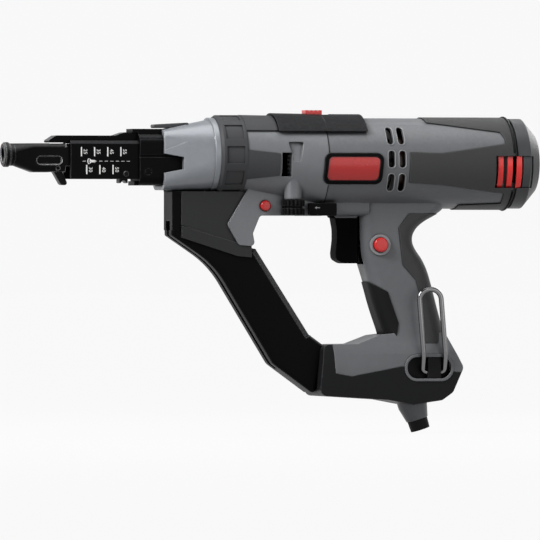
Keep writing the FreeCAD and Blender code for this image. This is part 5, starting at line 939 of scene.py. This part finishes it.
@dataclass
class ScaleMarks:
    """The white screw-length marks on both scale plates."""

    upper: tuple[str, ...] = ("25", "35", "45", "55")
    lower: tuple[str, ...] = ("30", "40", "50")
    pitch: float = 10.0 * MM
    upper_start: float = -241.0 * MM
    lower_start: float = -237.0 * MM
    upper_height: float = 83.6 * MM
    lower_height: float = 70.4 * MM
    sign_height: float = 76.6 * MM
    tick_height: float = 6.8 * MM
    tick_width: float = 0.95 * MM
    digit_size: float = 3.9 * MM
    digit_step: float = 2.9 * MM
    dashes: int = 9
    dash_pitch: float = 4.2 * MM
    dash_length: float = 2.4 * MM
    dash_width: float = 0.3 * MM
    screw_step: float = 4.68 * MM
    screw_outline: tuple[Corner, ...] = (
        (-2.4 * MM, 2.0 * MM),
        (-2.4 * MM, -2.0 * MM),
        (-1.2 * MM, -0.9 * MM),
        (1.6 * MM, -0.9 * MM),
        (2.6 * MM, 0.0),
        (1.6 * MM, 0.9 * MM),
        (-1.2 * MM, 0.9 * MM),
    )
    ring_step: float = 1.0 * MM
    ring_inner: float = 2.0 * MM
    ring_outer: float = 2.6 * MM
    ring_angles: range = range(120, 241, 20)
    lift: float = 0.05 * MM

    def build(self, shop: PaintShop) -> list[bpy.types.Object]:
        """Prints the marks on the left and right plates.

        Args:
            shop: where the white comes from.

        Returns:
            The two printed pieces.
        """
        made = []
        for side, node in ((-1.0, "scale_plate_left"), (1.0, "scale_plate_right")):
            low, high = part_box(node)
            face = low.y - self.lift if side < 0 else high.y + self.lift
            art = FlatArt()
            self._row(art, self.upper, self.upper_start, self.upper_height, face)
            self._row(art, self.lower, self.lower_start, self.lower_height, face)
            self._screw_sign(art, face)
            piece = art.finish(f"{node}_marks", shop.material(WHITE_PRINT))
            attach(piece, Body.FEED.value)
            made.append(piece)
        return made

    def _row(
        self, art: FlatArt, numbers: tuple[str, ...], start: float, height: float, face: float
    ) -> None:
        """Prints one row of ticks and numbers.

        Args:
            art: the collection to print in.
            numbers: the row's numbers, front to back.
            start: place of the first tick.
            height: the row's height.
            face: the plate's face.
        """
        step = math.copysign(self.digit_step, -face)
        for count, number in enumerate(numbers):
            x = start + count * self.pitch
            art.bar(self.tick_width, self.tick_height, side_plane(x, height, face))
            art.words(number, self.digit_size, side_plane(x + step, height, face, -QUARTER_TURN))

    def _screw_sign(self, art: FlatArt, face: float) -> None:
        """Prints a plain screw beside an arc, on a dashed line.

        Args:
            art: the collection to print in.
            face: the plate's face.
        """
        screw, ring = (
            side_plane(self.lower_start + math.copysign(step, -face), self.sign_height, face)
            for step in (self.screw_step, self.ring_step)
        )
        art.polygon(self.screw_outline, screw)
        for count in range(self.dashes):
            x = self.upper_start + (count + 0.5) * self.dash_pitch
            art.bar(self.dash_length, self.dash_width, side_plane(x, self.sign_height, face))
        turns = [math.radians(angle) for angle in self.ring_angles]
        rays = [(math.cos(turn), math.sin(turn)) for turn in turns]
        for first, second in zip(rays, rays[1:]):
            corners = (
                (self.ring_outer, first),
                (self.ring_outer, second),
                (self.ring_inner, second),
                (self.ring_inner, first),
            )
            art.polygon([(radius * x + self.ring_inner, radius * y) for radius, (x, y) in corners], ring)


@dataclass
class FeedSpring:
    """The coil spring that pushes the feed head out."""

    turns: float = 11.0
    wire: float = 0.8 * MM
    stroke: float = 55.0 * MM
    joint: str = "feed_stroke"
    turn_steps: int = 20
    sides: int = 10

    def build(self, shop: PaintShop) -> bpy.types.Object:
        """Winds the spring in the place of its plain sleeve.

        Args:
            shop: where the steel comes from.

        Returns:
            The spring.
        """
        low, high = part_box("return_spring")
        length = high.x - low.x - 2 * self.wire
        radius = (high.z - low.z) / 2 - self.wire
        sizes = {"Turns": self.turns, "Radius": radius, "Length": length, "Wire": self.wire}
        tree = ShapeTree("feed_spring", sizes)
        helix = tree.add(
            "GeometryNodeCurveSpiral", Resolution=self.turn_steps, Rotations=tree.given["Turns"],
            Start_Radius=tree.given["Radius"], End_Radius=tree.given["Radius"], Height=tree.given["Length"],
        )
        coil = tree.sweep(helix.outputs["Curve"], tree.given["Wire"], self.sides, caps=True)
        middle = (low + high) / 2
        start = Matrix.Translation((low.x + self.wire, middle.y, middle.z))
        place = start @ Matrix.Rotation(QUARTER_TURN, 4, "Y")
        piece = tree.make("feed_spring_coil", coil, shop.material(BRIGHT_STEEL), place)
        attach(piece, Body.TOOL.value)
        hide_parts("return_spring")
        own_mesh(piece)
        return piece


@dataclass
class LeverArrows:
    """The small printed arrows on both pads of the direction lever."""

    middle_x: float = -63.4 * MM
    height: float = 42.4 * MM
    half_length: float = 2.0 * MM
    head_length: float = 1.6 * MM
    half_head: float = 1.0 * MM
    half_shaft: float = 0.3 * MM
    lift: float = 0.05 * MM

    def build(self, shop: PaintShop) -> bpy.types.Object:
        """Prints one arrow on each pad.

        Args:
            shop: where the print's grey comes from.

        Returns:
            The printed piece.
        """
        low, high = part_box("direction_lever")
        neck = self.head_length - self.half_length
        outline = [
            (-self.half_length, 0.0),
            (neck, -self.half_head),
            (neck, -self.half_shaft),
            (self.half_length, -self.half_shaft),
            (self.half_length, self.half_shaft),
            (neck, self.half_shaft),
            (neck, self.half_head),
        ]
        art = FlatArt()
        for face in (low.y - self.lift, high.y + self.lift):
            art.polygon(outline, side_plane(self.middle_x, self.height, face))
        piece = art.finish("direction_arrows", shop.material(LIGHT_GREY))
        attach(piece, Body.LEVER.value)
        return piece


@dataclass
class VentRims:
    """The thin raised rims around the motor's air slots."""

    columns: int = 2
    rows: int = 3
    pitch: float = 8.35 * MM
    row_pitch: float = 17.15 * MM
    slot_length: float = 4.85 * MM
    slot_height: float = 12.4 * MM
    corner: float = 2.2 * MM
    corner_steps: int = 6
    loop_steps: int = 56
    middle_x: float = -5.1 * MM
    middle_z: float = 78.3 * MM
    margin: float = 0.4 * MM
    bead: float = 0.38 * MM
    sides: int = 8
    reach: float = 60.0 * MM

    def build(self, shop: PaintShop, nodes: Nodes) -> list[bpy.types.Object]:
        """Lays the rims on both housing halves.

        Args:
            shop: where the rims' grey comes from.
            nodes: the CAD node objects by name.

        Returns:
            One piece for each half.
        """
        made = []
        for side, node in ((-1.0, "housing_left"), (1.0, "housing_right")):
            sizes = {
                "Pitch": self.pitch * (self.columns - 1),
                "Row Pitch": self.row_pitch * (self.rows - 1),
                "Length": self.slot_length + 2 * self.margin,
                "Height": self.slot_height + 2 * self.margin,
                "Corner": self.corner + self.margin,
                "Bead": self.bead,
                "Wall": nodes[node],
            }
            tree = ShapeTree(f"{node}_rims", sizes)
            rims = tree.sweep(self._loops(tree, side), tree.given["Bead"], self.sides, caps=False)
            piece = tree.make(f"{node}_vent_rims", rims, shop.material(RIM_GREY))
            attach(piece, Body.TOOL.value)
            made.append(piece)
        return made

    def _loops(self, tree: ShapeTree, side: float) -> Socket:
        """Draws a rounded loop around each slot and drops it on the housing's wall.

        Args:
            tree: the tree to draw in.
            side: which side of the tool, -1 for left.

        Returns:
            The loops.
        """
        given = tree.given
        outline = tree.add(
            "GeometryNodeCurvePrimitiveQuadrilateral", Width=given["Length"], Height=given["Height"]
        )
        fillet = tree.add(
            "GeometryNodeFilletCurve", mode="POLY", Count=self.corner_steps,
            Curve=outline.outputs["Curve"], Radius=given["Corner"],
        )
        even = tree.add("GeometryNodeResampleCurve", Count=self.loop_steps, Curve=fillet.outputs["Curve"])
        grid = tree.add(
            "GeometryNodeMeshGrid", Vertices_X=self.columns, Vertices_Y=self.rows,
            Size_X=given["Pitch"], Size_Y=given["Row Pitch"],
        )
        repeat = tree.add(
            "GeometryNodeInstanceOnPoints", Points=grid.outputs["Mesh"], Instance=even.outputs["Curve"]
        )
        real = tree.add("GeometryNodeRealizeInstances", Geometry=repeat.outputs["Instances"])
        stand = tree.add(
            "GeometryNodeTransform", Geometry=real.outputs["Geometry"], Rotation=(QUARTER_TURN, 0.0, 0.0),
            Translation=(self.middle_x, side * self.reach, self.middle_z),
        )
        return tree.drop(stand.outputs["Geometry"], (0.0, -side, 0.0), self.reach)


@dataclass(frozen=True)
class SeamArc:
    """One stretch of a dark line around the tool's axis; behind the gear case it is a joint line, in front
    of the rear cap painted groove shade.

    Args:
        wall: the CAD node that it lies on.
        along: its place along the tool.
        bead: half its width.
        start: where it starts, in degrees from the right side upwards.
        sweep: how far it runs, in degrees.
    """

    wall: str
    along: float
    bead: float
    start: float
    sweep: float


@dataclass
class JointLineAndPaintedGrooveShade:
    """The dark joint line behind the gear case, and a black band in front of the rear cap that paints the
    shade in its groove.
    """

    axis_height: float = 75.4 * MM
    reach: float = 48.0 * MM
    steps: int = 160
    sides: int = 8
    arcs: tuple[SeamArc, ...] = (
        SeamArc("gear_case", -57.1 * MM, 0.3 * MM, 0.0, FULL_TURN),
        # These two arcs paint the shade in the groove between the motor panel and the rear cap.
        SeamArc("motor_panel", 85.3 * MM, 0.8 * MM, 13.0, 154.0),
        SeamArc("motor_panel", 85.3 * MM, 0.8 * MM, 216.0, 108.0),
    )

    def build(self, shop: PaintShop, nodes: Nodes) -> list[bpy.types.Object]:
        """Lays every stretch on its wall.

        Args:
            shop: where the black comes from.
            nodes: the CAD node objects by name.

        Returns:
            One piece for each stretch.
        """
        made = []
        for count, arc in enumerate(self.arcs):
            sizes = {
                "Reach": self.reach,
                "Start": math.radians(arc.start),
                "Sweep": math.radians(arc.sweep),
                "Bead": arc.bead,
                "Wall": nodes[arc.wall],
            }
            tree = ShapeTree(f"seam_{count}", sizes)
            line = tree.sweep(self._line(tree, arc), tree.given["Bead"], self.sides, caps=True)
            piece = tree.make(f"{arc.wall}_seam_{count}", line, shop.material(BLACK_PLASTIC))
            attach(piece, Body.TOOL.value)
            made.append(piece)
        return made

    def _line(self, tree: ShapeTree, arc: SeamArc) -> Socket:
        """Draws an arc around the axis and pulls it in onto the wall.

        Args:
            tree: the tree to draw in.
            arc: the stretch.

        Returns:
            The line.
        """
        reach, start, sweep = (tree.given[label] for label in ("Reach", "Start", "Sweep"))
        if arc.sweep < FULL_TURN:
            loop = tree.add("GeometryNodeCurveArc", Start_Angle=start, Sweep_Angle=sweep)
        else:
            loop = tree.add("GeometryNodeCurvePrimitiveCircle")
        tree.feed(loop.inputs["Resolution"], self.steps)
        tree.feed(loop.inputs["Radius"], reach)
        centre = (arc.along, 0.0, self.axis_height)
        stand = tree.add(
            "GeometryNodeTransform", Geometry=loop.outputs["Curve"],
            Translation=centre, Rotation=(QUARTER_TURN, 0.0, QUARTER_TURN),
        )
        inwards = tree.add("ShaderNodeVectorMath", operation="SUBTRACT")
        tree.feed(inwards.inputs[0], centre)
        tree.feed(inwards.inputs[1], tree.add("GeometryNodeInputPosition").outputs["Position"])
        return tree.drop(stand.outputs["Geometry"], inwards.outputs["Vector"], reach)


@dataclass
class TriggerLips:
    """The two lips under the neck that close the slit above the trigger."""

    front: float = -47.4 * MM
    rear: float = -29.5 * MM
    top: float = 37.2 * MM
    low: float = 34.9 * MM
    lean: float = 0.4
    inside: float = 9.5 * MM
    thickness: float = 1.5 * MM
    edge_step: float = 0.5 * MM
    edge_cuts: int = 2

    def build(self, shop: PaintShop) -> bpy.types.Object:
        """Moulds both lips as one piece, with a square step along every edge.

        Args:
            shop: where the grey comes from.

        Returns:
            The piece.
        """
        outline = [
            (self.front, self.top),
            (self.front + self.lean * (self.top - self.low), self.low),
            (self.rear, self.low),
            (self.rear, self.top),
        ]
        mesh = bmesh.new()
        for inner in (self.inside, -self.inside - self.thickness):
            add_prism(mesh, outline, inner, inner + self.thickness)
        edges = list(mesh.edges)
        bmesh.ops.bevel(mesh, geom=edges, offset=self.edge_step, segments=self.edge_cuts, affect="EDGES")
        piece = close_mesh(mesh, "trigger_lips", shop.material(GREY_BODY))
        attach(piece, Body.TOOL.value)
        return piece


@dataclass
class BracketPad:
    """The thin soft pad between the track's bracket and the barrel that it lies under."""

    front: float = -173.5 * MM
    rear: float = -146.0 * MM
    low: float = 54.38 * MM
    front_top: float = 55.5 * MM
    rear_top: float = 54.8 * MM
    half_width: float = 7.0 * MM

    def build(self, shop: PaintShop) -> bpy.types.Object:
        """Cuts the pad.

        Args:
            shop: where the soft black comes from.

        Returns:
            The pad.
        """
        outline = [
            (self.front, self.low),
            (self.rear, self.low),
            (self.rear, self.rear_top),
            (self.front, self.front_top),
        ]
        mesh = bmesh.new()
        add_prism(mesh, outline, -self.half_width, self.half_width)
        piece = close_mesh(mesh, "bracket_pad", shop.material(GRIP_RUBBER))
        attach(piece, Body.TOOL.value)
        return piece


@dataclass
class WormWindowShade:
    """A dark tray of sheet behind the depth worm's window in the gear case, painting the shade inside the
    case.
    """

    front: float = -92.3 * MM
    rear: float = -85.1 * MM
    low: float = 65.65 * MM
    high: float = 82.95 * MM
    floor: float = -17.4 * MM
    rim: float = -26.6 * MM

    def build(self, shop: PaintShop) -> bpy.types.Object:
        """Folds the tray from sheet, open to the window and at the rear.

        Args:
            shop: where the black comes from.

        Returns:
            The tray.
        """
        mesh = bmesh.new()
        outline = (
            (self.front, self.low),
            (self.rear, self.low),
            (self.rear, self.high),
            (self.front, self.high),
        )
        floor, rim = ([mesh.verts.new((x, y, z)) for x, z in outline] for y in (self.floor, self.rim))
        for loop in (
            floor,
            (rim[0], floor[0], floor[3], rim[3]),
            (rim[0], rim[1], floor[1], floor[0]),
            (floor[3], floor[2], rim[2], rim[3]),
        ):
            mesh.faces.new(loop)
        # The second wall lies on the first: the sheet has no thickness.
        bmesh.ops.solidify(mesh, geom=list(mesh.faces), thickness=0.0)
        piece = close_mesh(mesh, "worm_window_tray", shop.material(BLACK_PLASTIC))
        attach(piece, Body.TOOL.value)
        return piece


def add_prism(mesh: bmesh.types.BMesh, outline: Sequence[Corner], first: float, second: float) -> None:
    """Adds a closed prism across the tool.

    Args:
        mesh: the mesh that it goes in.
        outline: its corners, along and up.
        first: one end face, across the tool.
        second: the other end face.
    """
    ends = [[mesh.verts.new((x, y, z)) for x, z in outline] for y in (first, second)]
    mesh.faces.new(ends[0])
    mesh.faces.new(list(reversed(ends[1])))
    count = len(outline)
    for place in range(count):
        after = (place + 1) % count
        mesh.faces.new((ends[0][after], ends[0][place], ends[1][place], ends[1][after]))


def close_mesh(mesh: bmesh.types.BMesh, name: str, material: bpy.types.Material) -> bpy.types.Object:
    """Turns a mesh under work into a piece with its faces outwards.

    Args:
        mesh: the mesh, which is freed.
        name: the piece's name.
        material: its finish.

    Returns:
        The piece.
    """
    bmesh.ops.recalc_face_normals(mesh, faces=list(mesh.faces))
    data = bpy.data.meshes.new(name)
    mesh.to_mesh(data)
    mesh.free()
    data.materials.append(material)
    return new_object(name, data)


@dataclass(frozen=True)
class Lamp:
    """One soft square light, placed as the camera sees the tool.

    Args:
        name: the lamp's name.
        right: how far to the right of the frame's origin it hangs, in metres.
        beyond: how far behind the origin it hangs.
        up: how far above the origin it hangs.
        size: its side.
        power: its power, in watts.
    """

    name: str
    right: float
    beyond: float
    up: float
    size: float
    power: float


@dataclass
class Studio:
    """The plain floor, the soft lights and the camera at the photograph's angle."""

    azimuth: float = -15.0
    distance: float = 10.0
    frame_width: float = 401.2 * MM
    aside: float = -90.6 * MM
    above: float = -3.7 * MM
    floor_gap: float = 0.5 * MM
    floor_radius: float = 60.0
    floor_sides: int = 96
    floor_shade: float = 0.24
    floor_roughness: float = 0.9
    sensor: float = 36.0
    white_share: float = 0.94
    surround: float = 0.10
    ceiling: float = 0.12
    sweep_heights: Span = (0.10, 0.55)
    lamps: tuple[Lamp, ...] = (
        Lamp("key_light", right=-1.2, beyond=-0.85, up=1.05, size=0.8, power=42.0),
        Lamp("fill_light", right=0.95, beyond=-1.0, up=0.45, size=1.1, power=5.0),
        Lamp("top_light", right=0.1, beyond=-0.05, up=1.35, size=1.0, power=9.0),
        Lamp("rim_light", right=0.6, beyond=0.9, up=0.7, size=0.8, power=9.0),
    )

    def build(self) -> None:
        """Sets the floor, lights and camera."""
        self._floor()
        self._lights()
        self._camera()
        self._world()
        bpy.context.scene.view_settings.view_transform = "Standard"

    def _look(self) -> tuple[Vector, Vector]:
        """The camera's viewing direction and its right-hand direction."""
        along, across = math.cos(math.radians(self.azimuth)), math.sin(math.radians(self.azimuth))
        return Vector((-across, along, 0.0)), Vector((along, across, 0.0))

    def _camera(self) -> None:
        """Places the camera."""
        forward, right = self._look()
        data = bpy.data.cameras.new("studio_camera")
        data.sensor_width = self.sensor
        data.lens = self.sensor * self.distance / self.frame_width
        camera = new_object("studio_camera", data)
        aim = right * self.aside + Vector((0.0, 0.0, self.above))
        camera.location = aim - forward * self.distance
        camera.rotation_euler = forward.to_track_quat("-Z", "Y").to_euler()
        bpy.context.scene.camera = camera

    def _floor(self) -> None:
        """Lays the floor, wide enough to meet the surround at the horizon."""
        low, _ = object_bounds()
        mesh = bmesh.new()
        level = Matrix.Translation((0.0, 0.0, low[2] - self.floor_gap))
        bmesh.ops.create_circle(
            mesh, cap_ends=True, segments=self.floor_sides, radius=self.floor_radius, matrix=level
        )
        close_mesh(mesh, "studio_floor", self._floor_paint())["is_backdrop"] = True

    def _floor_paint(self) -> bpy.types.Material:
        """Makes the pale floor, which the camera sees as nearly white with the tool's shadow on it.

        Returns:
            The floor's material.
        """
        material = bpy.data.materials.new("studio_white")
        material.use_nodes = True
        tree = material.node_tree
        sheet = NodeSheet(tree)
        shader = tree.nodes["Principled BSDF"]
        shade = (self.floor_shade, self.floor_shade, self.floor_shade, 1.0)
        sheet.feed(shader.inputs["Base Color"], shade)
        sheet.feed(shader.inputs["Roughness"], self.floor_roughness)
        glow = sheet.add("ShaderNodeEmission", Color=WHITE)
        share = sheet.maths("MULTIPLY", self._seen(sheet), self.white_share)
        mix = sheet.add("ShaderNodeMixShader", Fac=share)
        sheet.feed(mix.inputs[1], shader.outputs["BSDF"])
        sheet.feed(mix.inputs[2], glow.outputs["Emission"])
        sheet.feed(tree.nodes["Material Output"].inputs["Surface"], mix.outputs["Shader"])
        return material

    def _lights(self) -> None:
        """Hangs the soft lights."""
        forward, right = self._look()
        for lamp in self.lamps:
            data = bpy.data.lights.new(lamp.name, "AREA")
            data.size = lamp.size
            data.energy = lamp.power
            light = new_object(lamp.name, data)
            spot = right * lamp.right + forward * lamp.beyond + Vector((0.0, 0.0, lamp.up))
            light.location = spot
            light.rotation_euler = (-spot).to_track_quat("-Z", "Y").to_euler()

    def _world(self) -> None:
        """Surrounds the tool with a white sweep under a dim ceiling."""
        world = bpy.data.worlds.new("studio_world")
        world.use_nodes = True
        sheet = NodeSheet(world.node_tree)
        background = world.node_tree.nodes["Background"]
        sheet.feed(background.inputs["Color"], WHITE)
        strengths = (self.white_share, self.ceiling)
        sweep = sheet.remap(sheet.height("Generated"), self.sweep_heights, strengths, smooth=True)
        shown = sheet.maths("MULTIPLY", self._seen(sheet), sheet.maths("SUBTRACT", sweep, self.surround))
        sheet.feed(background.inputs["Strength"], sheet.maths("ADD", shown, self.surround))
        bpy.context.scene.world = world

    @staticmethod
    def _seen(sheet: NodeSheet) -> Socket:
        """Masks the rays that see the background: the camera's, and those that metal and glass send on.

        Args:
            sheet: the tree that the mask goes in.

        Returns:
            The mask.
        """
        path = sheet.add("ShaderNodeLightPath")
        seen = sheet.maths("MAXIMUM", path.outputs["Is Camera Ray"], path.outputs["Is Glossy Ray"])
        return sheet.maths("MAXIMUM", seen, path.outputs["Is Transmission Ray"])


def main() -> None:
    """Loads the frame and dresses it piece by piece."""
    logging.basicConfig(level=logging.INFO)
    for item in list(bpy.data.objects):
        bpy.data.objects.remove(item)
    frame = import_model()
    shop = PaintShop(SurfaceEffects())
    CadDresser(shop, frame["nodes"], frame["record"]).dress()
    for piece in ScaleMarks().build(shop):
        LOG.info("printed %s", piece.name)
    LOG.info("wound %s", FeedSpring().build(shop).name)
    for piece in VentRims().build(shop, frame["nodes"]) + JointLineAndPaintedGrooveShade().build(shop, frame["nodes"]):
        LOG.info("laid %s", piece.name)
    for maker in (LeverArrows(), TriggerLips(), BracketPad(), WormWindowShade()):
        LOG.info("added %s", maker.build(shop).name)
    Studio().build()


if __name__ == "__main__":
    main()
